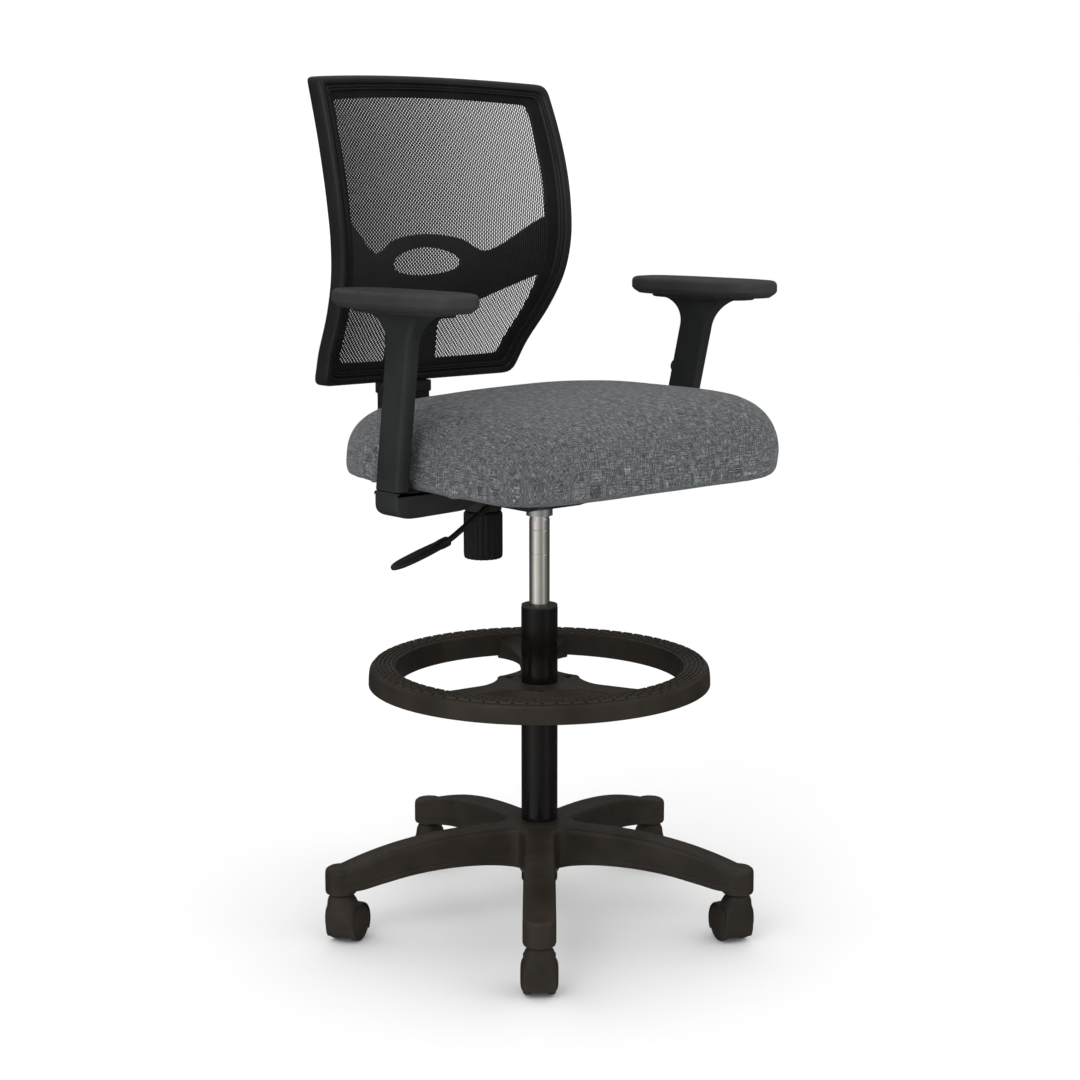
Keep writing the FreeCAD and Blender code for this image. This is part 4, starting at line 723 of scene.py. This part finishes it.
def pad():
    """Soft arm pad: a bevel under a fine line, upright sides, a round shoulder and a slightly crowned top."""
    outline = pad_outline(250, 86)
    profile = [(30, 864.4), (13, 864.4), (10, 864.8), (3, 869.6), (1.4, 871.2), (1.2, 871.9), (0.2, 872.6),
               (0, 875), (0, 881.2), (0.6, 884), (2.2, 886.2), (4.8, 887.6), (8, 888.2), (14, 888.6), (24, 888.9),
               (34, 889.0)]
    rings = []
    for inset, height in profile:
        ring = drawn_in(outline, inset) if inset < 10 else None
        if ring is None:
            middle = np.array([-PAD_X, PAD_Y])
            edge = drawn_in(outline, 10)
            ring = edge + (middle - edge) * [(inset - 10) / 34, (inset - 10) / 116]
        rings.append(np.column_stack([ring, np.full(len(ring), height)]))
    return loft(rings, flat_ends=True)


def arm_frame(along):
    """Origin and axes at a distance along the right-hand sleeve."""
    axis = arm_axis()
    side = np.cross(axis, [1, 0, 0])
    side = side / np.linalg.norm(side)
    flat = np.cross(side, axis)
    return np.array([-ARM_X, 0, SPLIT]) + axis * along, flat, side, axis


def button():
    """Oval height button on the sleeve's rear edge, domed, standing 6.6 mm proud."""
    turn = np.linspace(0, TURN, 40, endpoint=False)
    oval = np.stack([5.6 * np.cos(turn), 8 * np.sin(turn)], -1)
    rings = []
    for depth, share in ((-1, 0.98), (3.0, 1), (4.6, 0.97), (5.8, 0.86), (6.4, 0.62), (6.6, 0.3)):
        rings.append(np.column_stack([oval * share, np.full(40, 25 + depth)]))
    origin, flat, side, axis = arm_frame(128)
    return placed(loft(rings), origin, flat, axis, side)


def button_surround():
    """Raised oval ring that the button stands in."""
    turn = np.linspace(0, TURN, 40, endpoint=False)
    rings = []
    for grow, depth in ((0.4, -0.6), (0.5, 0.9), (1.2, 1.5), (2.2, 1.2), (2.9, 0.2), (2.9, -0.8)):
        rings.append(np.stack([(5.7 + grow) * np.cos(turn), (8 + grow) * np.sin(turn),
                               np.full(40, 25 + depth)], -1))
    origin, flat, side, axis = arm_frame(128)
    return placed(surface(rings, True, True), origin, flat, axis, side)


def bracket():
    """Arm bracket: an L from under the seat round a full corner up to the split, its rims rounded."""
    outer = ARM_X + 9.5
    corners = ((-outer, SPLIT - 0.4), (-outer, 597), (-142, 600), (-100, 623), (-100, 637.6), (-197, 637.6),
               (-outer + 19, SPLIT - 0.4))
    outline = rounded(corners, (0.4, 34, 16, 2, 0.4, 12, 1), 9)
    shape = slab(outline, -24.6, 24.6, 5, 5, 5)
    return placed(shape, (0, 0, 0), (1, 0, 0), (0, 0, 1), (0, 1, 0))


def arms():
    """Both arms, the left one being the right one's other hand."""
    for hand, turn in (("right", lambda shape: shape), ("left", mirrored)):
        body = f"arm_{hand}"
        make_piece(f"sleeve_{hand}", [turn(shape) for shape in (*sleeve(), button_surround())], "arm_plastic",
                   body, f"arm_sleeve_{hand}")
        cushioned = make_piece(f"pad_{hand}", [turn(pad())], "pad_skin", body, f"arm_pad_{hand}")
        make_piece(f"button_{hand}", [turn(button())], "control", f"button_{hand}", f"height_button_{hand}")
        make_piece(f"bracket_{hand}", [turn(bracket())], "arm_plastic", "seat", f"arm_bracket_{hand}")


# ---- star base and castors ----

LEG_TURNS = [-131.1 + 72 * number for number in range(5)]
STEM_CIRCLE = 282
TRAILS = (48.9, 68.9, 63.9, 33.9, 28.9)


def leg():
    """One leg along X: sections that taper down and out in a gentle arch, broader where they spring from the
    hub, with round top edges, a crease along each side and a hollow underside."""
    along = np.concatenate([np.linspace(20, 70, 22), np.linspace(76, STEM_CIRCLE, 30)])
    rings = []
    for r in along:
        t = np.clip((r - 38) / (STEM_CIRCLE - 38), 0, 1)
        top = 146 - 38 * t ** 2.6 + 5 * math.exp(-max(0.0, r - 36) / 6)
        low = eased(t, (0, 0.2, 0.4, 0.6, 0.8, 0.9, 1), (90, 96, 97, 93, 84, 79, 78))
        half = 20.6 + 0.9 * t + 12 * math.exp(-max(0.0, r - 36) / 8)
        crease = low + 8
        corners = np.array([(0, top), (half * 0.5, top - 0.6), (half, top - 2.4), (half, crease + 1.6),
                            (half - 1.1, crease), (half, crease - 1.6), (half, low), (half - 4.4, low),
                            (half - 5.4, low + 9), (0, low + 10)])
        round_by = (0, 5, 8, 0.8, 0.8, 0.8, 2, 1.2, 3, 0)
        right = rounded(corners, round_by, 5, closed=False)
        left = right[::-1] * (-1, 1)
        ring = np.concatenate([right, left])
        rings.append(np.column_stack([np.full(len(ring), r), ring]))
    return loft(rings, flat_ends=True)


def leg_end():
    """Round end of a leg: a short drum with a soft top edge, and a socket below."""
    profile = [(0, 108.6), (14, 108.5), (17.6, 107.8), (20.2, 105.8), (21.3, 102.8), (21.5, 99), (21.5, 76),
               (20.6, 73.6), (19, 73), (9, 73), (8.6, 74), (8.6, 82),
               (0, 82)]
    vertices, faces = turned(profile, 64)
    return vertices + (STEM_CIRCLE, 0, 0), faces


def hub():
    """Hub round the column: an upright drum with a rounded shoulder, open for the tube."""
    profile = [(25.4, 140), (27, 146.5), (28.6, 148), (33, 148), (36, 146.6), (37.6, 143.6), (38, 139), (38, 90),
               (37, 87), (35, 86), (27, 86), (25.4, 88)]
    return turned(profile, 96, loop=True)


def star_base():
    """The five-leg base as one piece."""
    shapes = [hub()]
    for angle in LEG_TURNS:
        shapes += [spun(leg(), angle), spun(leg_end(), angle)]
    make_piece("five_leg_base", shapes, "nylon", "base", "star_base", sharp=38)


def wheel_pair():
    """Two wheels on the axle line Y: tread with round shoulders, and a domed outer face inside a rim line."""
    profile = [(3.2, 9.6), (23.4, 9.6), (24.6, 10.4), (25, 12), (25, 17.4), (24.5, 19.4), (23.2, 20.6),
               (22.2, 20.9), (21.8, 20.3), (21.2, 20.9), (19, 22.6), (15.5, 23.8), (11, 24.3), (6, 24.5),
               (0, 24.5)]
    one = turned(profile, 56)
    pair = []
    for side in (1, -1):
        pair.append(placed(one, (20, 0, 25), (1, 0, 0), (0, 0, 1), (0, side, 0)))
    return pair


def hood():
    """Castor hood over the wheels: an arch band over both treads, a web between the wheels, and a cheek
    in front of them, of level rounded sections that draw in to the stem."""
    arc = np.radians(np.linspace(-34, 214, 42))
    section = [(24.2, 0), (25.9, 1.2), (25.9, 19.4), (26.5, 21.0), (27.2, 21.0), (28.0, 19.6), (28.5, 12),
               (28.7, 0)]
    half = section + [(radius, -y) for radius, y in section[-2:0:-1]]
    rings = [[(20 + radius * math.cos(a), y, 25 + radius * math.sin(a)) for radius, y in half] for a in arc]
    band = loft(rings)
    turn = np.linspace(0, TURN, 48, endpoint=False)
    disc = np.stack([20 + 26 * np.cos(turn), 25 + 26 * np.sin(turn)], -1)
    disc[:, 1] = np.maximum(disc[:, 1], 17)
    web = placed(slab(disc, -8.6, 8.6, 1, 1), (0, 0, 0), (1, 0, 0), (0, 0, 1), (0, 1, 0))
    levels = [(22, 18.6, -8.6, -6.4), (25, 20, -10, -6.4), (30, 20.8, -11.6, -5.6), (40, 21, -13.6, -1.6),
              (48, 21, -14.6, 6), (52, 20.8, -15, 18), (55, 20.4, -15.2, 23), (58, 20, -15.3, 22),
              (61, 19.4, -15.4, 20.5), (64, 18.3, -15.4, 18.6), (67, 16.8, -15.4, 16.8), (69.4, 15.2, -15, 15.2),
              (70.8, 14, -14, 14), (71.2, 12.6, -12.6, 12.6), (71.2, 6, -6, 6)]
    c, s = (np.sign(part) * np.abs(part) ** 0.82 for part in (np.cos(turn), np.sin(turn)))
    rings = [np.stack([(front + back) / 2 + (back - front) / 2 * c, across * s, np.full(48, z)], -1)
             for z, across, front, back in levels]
    return [band, web, loft(rings)]


def castors():
    """Five castors, each trailing its own way."""
    for number, (angle, trail) in enumerate(zip(LEG_TURNS, TRAILS), start=1):
        x = STEM_CIRCLE * math.cos(math.radians(angle))
        y = STEM_CIRCLE * math.sin(math.radians(angle))
        make_piece(f"castor_cover_{number}", [spun(shape, trail, x, y) for shape in hood()], "nylon",
                   f"castor_{number}", f"castor_hood_{number}")
        make_piece(f"castor_rollers_{number}", [spun(shape, trail, x, y) for shape in wheel_pair()], "nylon",
                   f"wheels_{number}", f"castor_wheels_{number}")


# ---- column and foot ring ----

def column():
    """Black tube with a rolled top edge, and the lift's polished cylinder with two fine lines."""
    tube_wall = [(23.6, 62), (24.6, 62), (25, 63), (25, 63.6), (25, 448), (25, 448.6), (24.7, 449.8), (24, 450),
                 (23.5, 449.5), (23.5, 448.9), (23.5, 63.6), (23.5, 63)]
    make_piece("outer_tube", [turned(tube_wall, 96, loop=True)], "tube_paint", "base", "column_tube")
    rod = [(0, 190.4), (12.4, 190.4), (13.6, 191.6), (14, 193), (14, 194), (14, 522), (14, 522.6), (13.8, 523.0),
           (13.8, 523.8), (14, 524.2), (14, 524.8), (14, 555.4), (14, 556.0), (13.75, 556.4), (13.75, 557.2),
           (14, 557.6), (14, 558.2), (14, 569.4), (14, 570), (13.4, 572.4), (13.35, 573), (13.2, 598.8),
           (13.2, 599.4), (12.8, 600), (4.4, 600), (4.4, 582), (0, 582)]
    make_piece("lift_rod", [turned(rod, 96)], "chrome", "mechanism", "lift_cylinder")


SPRING_Y = 120
RING_SPOKES = (51.9, 171.9, 291.9)


def ring_rim():
    """Foot ring: an inverted trough with a rounded outer wall, a deep inner wall and a nearly flat top."""
    corners = ((234, 344.3), (233.6, 357), (232, 368.4), (226, 370.6), (202, 370.8), (196.2, 369.6),
               (196, 337.3), (200.4, 337.3), (201.4, 365.6), (226, 365.6), (228.6, 361), (229.4, 344.3))
    profile = rounded(corners, (1.2, 6, 5, 2, 2, 2.5, 1.5, 1.5, 2, 2, 2, 1.2), 5)
    return turned(profile, 192, loop=True)


def ring_tread():
    """Tread of short raised bars: five rows, each bar a low block narrower at its top, its place and turn
    coming from its row and its number in the row."""
    base = np.array([(x, y, z) for z in (-0.6, 1.7) for y in (-1, 1) for x in (-1, 1)], float)
    faces = np.array([(0, 2, 3, 1), (4, 5, 7, 6), (0, 1, 5, 4), (2, 6, 7, 3), (0, 4, 6, 2), (1, 3, 7, 5)])
    shapes = []
    for row, radius in enumerate((202.6, 208.6, 214.6, 220.4, 226.0)):
        count = 76
        angle = TURN * (np.arange(count) + 0.5 * (row % 2)) / count
        long_half = TURN * radius / count * 0.41
        high = base[:, 2] > 0
        length = base[:, 0] * np.where(high, long_half - 0.5, long_half)
        width = base[:, 1] * np.where(high, 1.35, 1.8)
        c, s = np.cos(angle)[:, None], np.sin(angle)[:, None]
        x = (radius + width) * c - length * s
        y = (radius + width) * s + length * c
        rim = 370.75 - max(0.0, radius - 224) * 0.16
        z = np.broadcast_to(rim + base[:, 2], x.shape)
        numbers = faces[None] + 8 * np.arange(count)[:, None, None]
        shapes.append((np.stack([x, y, z], -1).reshape(-1, 3), numbers.reshape(-1, 4).tolist()))
    return shapes


def spoke():
    """Spoke of the foot ring along X: a web with round edges that broadens as a wide concave curve into the
    hub and into the rim, and dips between them."""
    rings = []
    for r in np.concatenate([np.linspace(28, 60, 12), np.linspace(66, 140, 12), np.linspace(144, 199, 20)]):
        half = 21 + 36 * np.clip((84 - r) / 54, 0, 1) ** 2 + 30 * np.clip((r - 128) / 71, 0, 1) ** 2.4
        top = 345.4 + 20 * np.clip((r - 146) / 53, 0, 1) ** 2
        corners = ((half, 333.2), (half, top), (-half, top), (-half, 333.2))
        ring = rounded(corners, (2, 3.4, 3.4, 2), 5)
        bow = np.sqrt(np.maximum(0, r ** 2 - ring[:, 0] ** 2)) if r > 150 else np.full(len(ring), r)
        rings.append(np.column_stack([bow, ring]))
    return loft(rings, flat_ends=True)


def ring_hub():
    """Sleeve of the foot ring with a dished top."""
    profile = [(27.5, 293.5), (33, 293.5), (34, 294.6), (34, 330), (36, 334), (44, 336), (46, 343), (42, 345.4),
               (36, 344.4), (31, 341.6), (27.5, 341)]
    return turned(profile, 96, loop=True)


def foot_ring():
    """The foot ring, with its tread, spokes and sleeve."""
    shapes = [ring_rim(), *ring_tread(), ring_hub()]
    shapes += [spun(spoke(), angle) for angle in RING_SPOKES]
    make_piece("foot_rest", shapes, "nylon", "ring", "foot_ring", sharp=38)


def fluted(profile, flutes, depth, count, hollow=0.5):
    """A turned profile whose radius dips in flutes: radius - depth share(height) |cos(flutes a / 2)|^p."""
    radius, height, share = np.asarray(profile, float).T
    angle = np.linspace(0, TURN, count, endpoint=False)
    dip = np.abs(np.cos(flutes * angle / 2)) ** (2 / hollow)
    r = radius[:, None] - depth * share[:, None] * dip
    points = np.stack(np.broadcast_arrays(r * np.cos(angle), r * np.sin(angle), height[:, None]), -1)
    return surface(points, False, True)


def knobs():
    """Fluted tension knob under the seat, and the small clamp knob of the foot ring."""
    profile = [(0, 520, 0), (14, 520, 0), (16, 518, 0), (20, 503, 0.3), (21.4, 501.2, 0.6), (24.6, 500.9, 1.2),
               (26.4, 502, 1.3), (27.2, 504.4, 1), (27.5, 510, 0.8), (27.5, 562, 0.8), (27.1, 565, 0.7),
               (25.6, 566.8, 0.4), (22, 567, 0), (0, 567, 0)]
    shape = fluted(profile, 20, 1.5, 240)
    vertices, faces = shape
    make_piece("tension_grip", [(vertices + (0, SPRING_Y, 0), faces)], "control", "tension", "tension_knob")

    profile = [(0, 52, 0), (5, 52, 0), (6.5, 53, 0), (7, 57, 0), (8.6, 59, 0.5), (9, 61, 1), (9, 79, 1),
               (8.4, 81, 0.8), (7, 82, 0), (5, 81.4, 0), (0, 81.4, 0)]
    angle = math.radians(-8.1)
    out = np.array([math.cos(angle), math.sin(angle), 0])
    side = np.array([-out[1], out[0], 0])
    shape = placed(fluted(profile, 12, 1.1, 144), (0, 0, 318), side, (0, 0, 1), out)
    make_piece("clamp_grip", [shape], "control", "clamp", "clamp_knob")


def tension_spring():
    """Coil spring between its cup and the seat plate: the centre line (R cos a, R sin a, pitch a / turn), with
    the wire a circle in the plane of the radius and of up. It shortens as the seat tilts back."""
    angle = np.linspace(0, 5.72 * TURN, 172)[:, None, None]
    wire = np.linspace(0, TURN, 12, endpoint=False)[None, :, None]
    radius, height = 15 + 2.2 * np.cos(wire), 579.7 + 9.2 * angle / TURN + 2.2 * np.sin(wire)
    rings = np.concatenate([radius * np.cos(angle), SPRING_Y + radius * np.sin(angle), height], -1)
    made = make_piece("coil_spring", [loft(rings)], "steel", "mechanism", "tilt_spring")
    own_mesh(made)


LEVER_LINE = ((8, 608.4), (-70, 608.4), (-156, 559.1), (-185, 551))


def lever():
    """Gas lever: a bar that leaves the housing level and bends down, and a flat paddle with a collar, which
    broadens and ends in a rounded point."""
    line = np.array([(x, 0, z) for x, z in LEVER_LINE], float)
    end = line[-1]
    slope = (end - line[-2]) / np.linalg.norm(end - line[-2])
    path = spread(rounded([*line[:-1], end - slope * 6], (0, 26, 10, 0), 12, closed=False), 44, closed=False)
    make_piece("lever_bar", [tube(path, 4)], "control", "lever", "lever_rod")

    stations = ((-28, 5.8, 5.6), (-26.5, 6.9, 6.4), (-16, 7.4, 6.4), (-12, 7.2, 6.0), (-9, 7.6, 5.6),
                (2, 10.4, 5.2), (16, 12.2, 4.9), (34, 12.5, 4.6), (46, 12.2, 4.3), (55, 10.8, 4.0),
                (62, 8.0, 3.6), (66.4, 4.6, 3.0), (68, 1.6, 2.0))
    turn = np.linspace(0, TURN, 40, endpoint=False)
    c, s = np.cos(turn), np.sin(turn)
    rings = [np.stack([half * np.sign(c) * np.abs(c) ** 0.7, thick * np.sign(s) * np.abs(s) ** 0.8,
                       np.full(40, place)], -1) for place, half, thick in stations]
    normal = np.cross(slope, [0, 1, 0])
    shape = placed(loft(rings), end, (0, 1, 0), normal, slope)
    make_piece("lever_grip", [shape], "control", "lever", "lever_paddle")


def bar_cover():
    """Stepped cover round the back bar, with a lip at its top."""
    def ring(grow, z):
        half, depth = 39 + grow, 13 + grow
        outline = rounded(((-half, -depth), (half, -depth), (half, depth), (-half, depth)), 4, 6)
        return np.column_stack([outline[:, 0], outline[:, 1] + 300, np.full(len(outline), z)])
    rings = [ring(-3, 662.4), ring(-0.6, 662.2), ring(0, 663), ring(0, 719.4), ring(0.6, 720.4), ring(1.9, 721.2),
             ring(2, 722.4), ring(2, 735.6), ring(1.4, 736.8), ring(-1, 736.8), ring(-3, 735.8)]
    make_piece("bar_sleeve", [surface(rings, True, True)], "back_plastic", "seat", "bar_cover")


# ---- finishes of the parts kept as they are ----

KEPT = {
    "steel": ("castor_axle_", "castor_stems", "retaining_clip", "thrust_bearing", "pivot_shaft",
              "spring_retainer", "tension_bolt", "clamp_screw", "insert_nuts", "plate_bolts", "arm_bolts",
              "bar_bolts", "back_screws", "release_pin", "piston_rod", "hub_sleeve", "taper_socket"),
    "bush_plastic": ("guide_bush", "ring_collet", "lever_bush"),
    "black_steel": ("tilt_housing", "seat_plate", "back_bar"),
    "plywood": ("seat_pan",),
}


def finish_kept_parts():
    """Gives every CAD part that still shows the finish of its kind."""
    for look, names in KEPT.items():
        for name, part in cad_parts.items():
            if name.startswith(names) and not part.hide_render:
                part.data.materials.clear()
                part.data.materials.append(LOOKS[look])


# ---- studio ----

def floor():
    """Plain pale floor."""
    made, tree, shader = blank("studio_floor")
    where = node(tree, "TexCoord").outputs["Object"]
    cloud = noise(tree, where, 1.5, 3).outputs[0]
    colour = mixed(tree, cloud, (0.93, 0.93, 0.93, 1), (0.96, 0.96, 0.96, 1))
    tree.links.new(colour, shader.inputs["Base Color"])
    shader.inputs["Roughness"].default_value = 0.9
    shader.inputs["Specular IOR Level"].default_value = 0.1
    mesh = bpy.data.meshes.new("floor")
    mesh.from_pydata([(-15, -15, 0), (15, -15, 0), (15, 15, 0), (-15, 15, 0)], [], [(0, 1, 2, 3)])
    mesh.materials.append(made)
    ground = bpy.data.objects.new("floor", mesh)
    bpy.context.collection.objects.link(ground)
    ground.visible_glossy = False


def light(name, place, aim, size, power):
    """Soft square light at a place, turned towards a point."""
    lamp = bpy.data.lights.new(name, "AREA")
    lamp.shape, lamp.size, lamp.energy = "SQUARE", size, power
    made = bpy.data.objects.new(name, lamp)
    made.location = place
    made.rotation_euler = (bpy_vector(aim) - bpy_vector(place)).to_track_quat("-Z", "Y").to_euler()
    bpy.context.collection.objects.link(made)


def bpy_vector(values):
    """Blender's own vector."""
    from mathutils import Vector
    return Vector(values)


def surroundings():
    """White all round. What polished parts mirror is a studio of soft bright and dark screens, by the way round
    and fading into a bright ceiling."""
    world = bpy.data.worlds.new("studio")
    world.use_nodes = True
    tree = world.node_tree
    way = node(tree, "TexCoord").outputs["Generated"]
    parts = node(tree, "SeparateXYZ", {0: way}).outputs
    round_it = node(tree, "Math", {0: parts[1], 1: parts[0]}, operation="ARCTAN2").outputs[0]
    screens = node(tree, "ValToRGB", {0: ranged(tree, round_it, -math.pi, math.pi, 0, 1)})
    ramp = screens.color_ramp
    for index, (stop, tone) in enumerate(((0, 0.95), (0.06, 0.7), (0.136, 0.42), (0.2, 0.25), (0.27, 0.55),
                                          (0.33, 0.22), (0.43, 0.07), (0.636, 0.06), (0.84, 0.07), (0.92, 0.35),
                                          (1, 0.95))):
        mark = ramp.elements[index] if index < 2 else ramp.elements.new(stop)
        mark.position, mark.color = stop, (tone, tone, tone, 1)
    mirrored_studio = mixed(tree, ranged(tree, parts[2], 0.25, 0.8, 0, 1), screens.outputs[0], (0.7, 0.7, 0.7, 1))
    glossy = node(tree, "LightPath").outputs["Is Glossy Ray"]
    tree.links.new(mixed(tree, glossy, (1, 1, 1, 1), mirrored_studio), tree.nodes["Background"].inputs["Color"])
    tree.nodes["Background"].inputs["Strength"].default_value = 1.08
    bpy.context.scene.world = world


def studio():
    """White surroundings, two soft lights and the camera."""
    floor()
    surroundings()
    light("key", (-2.6, -1.2, 2.6), (0, 0, 0.7), 1.4, 20)
    light("fill", (1.6, -3.0, 1.8), (0, 0, 0.6), 2.0, 8)
    lens = bpy.data.cameras.new("view")
    lens.lens, lens.sensor_width = 68.94, 36
    camera = bpy.data.objects.new("view", lens)
    camera.location = (-1.817, -2.084, 1.021)
    camera.rotation_euler = (math.radians(90 - 9.84), 0, math.radians(-41.1))
    bpy.context.collection.objects.link(camera)
    bpy.context.scene.camera = camera
    bpy.context.scene.view_settings.view_transform = "Standard"


star_base()
castors()
column()
foot_ring()
knobs()
tension_spring()
lever()
bar_cover()
arms()
backrest()
cushion()
finish_kept_parts()
studio()
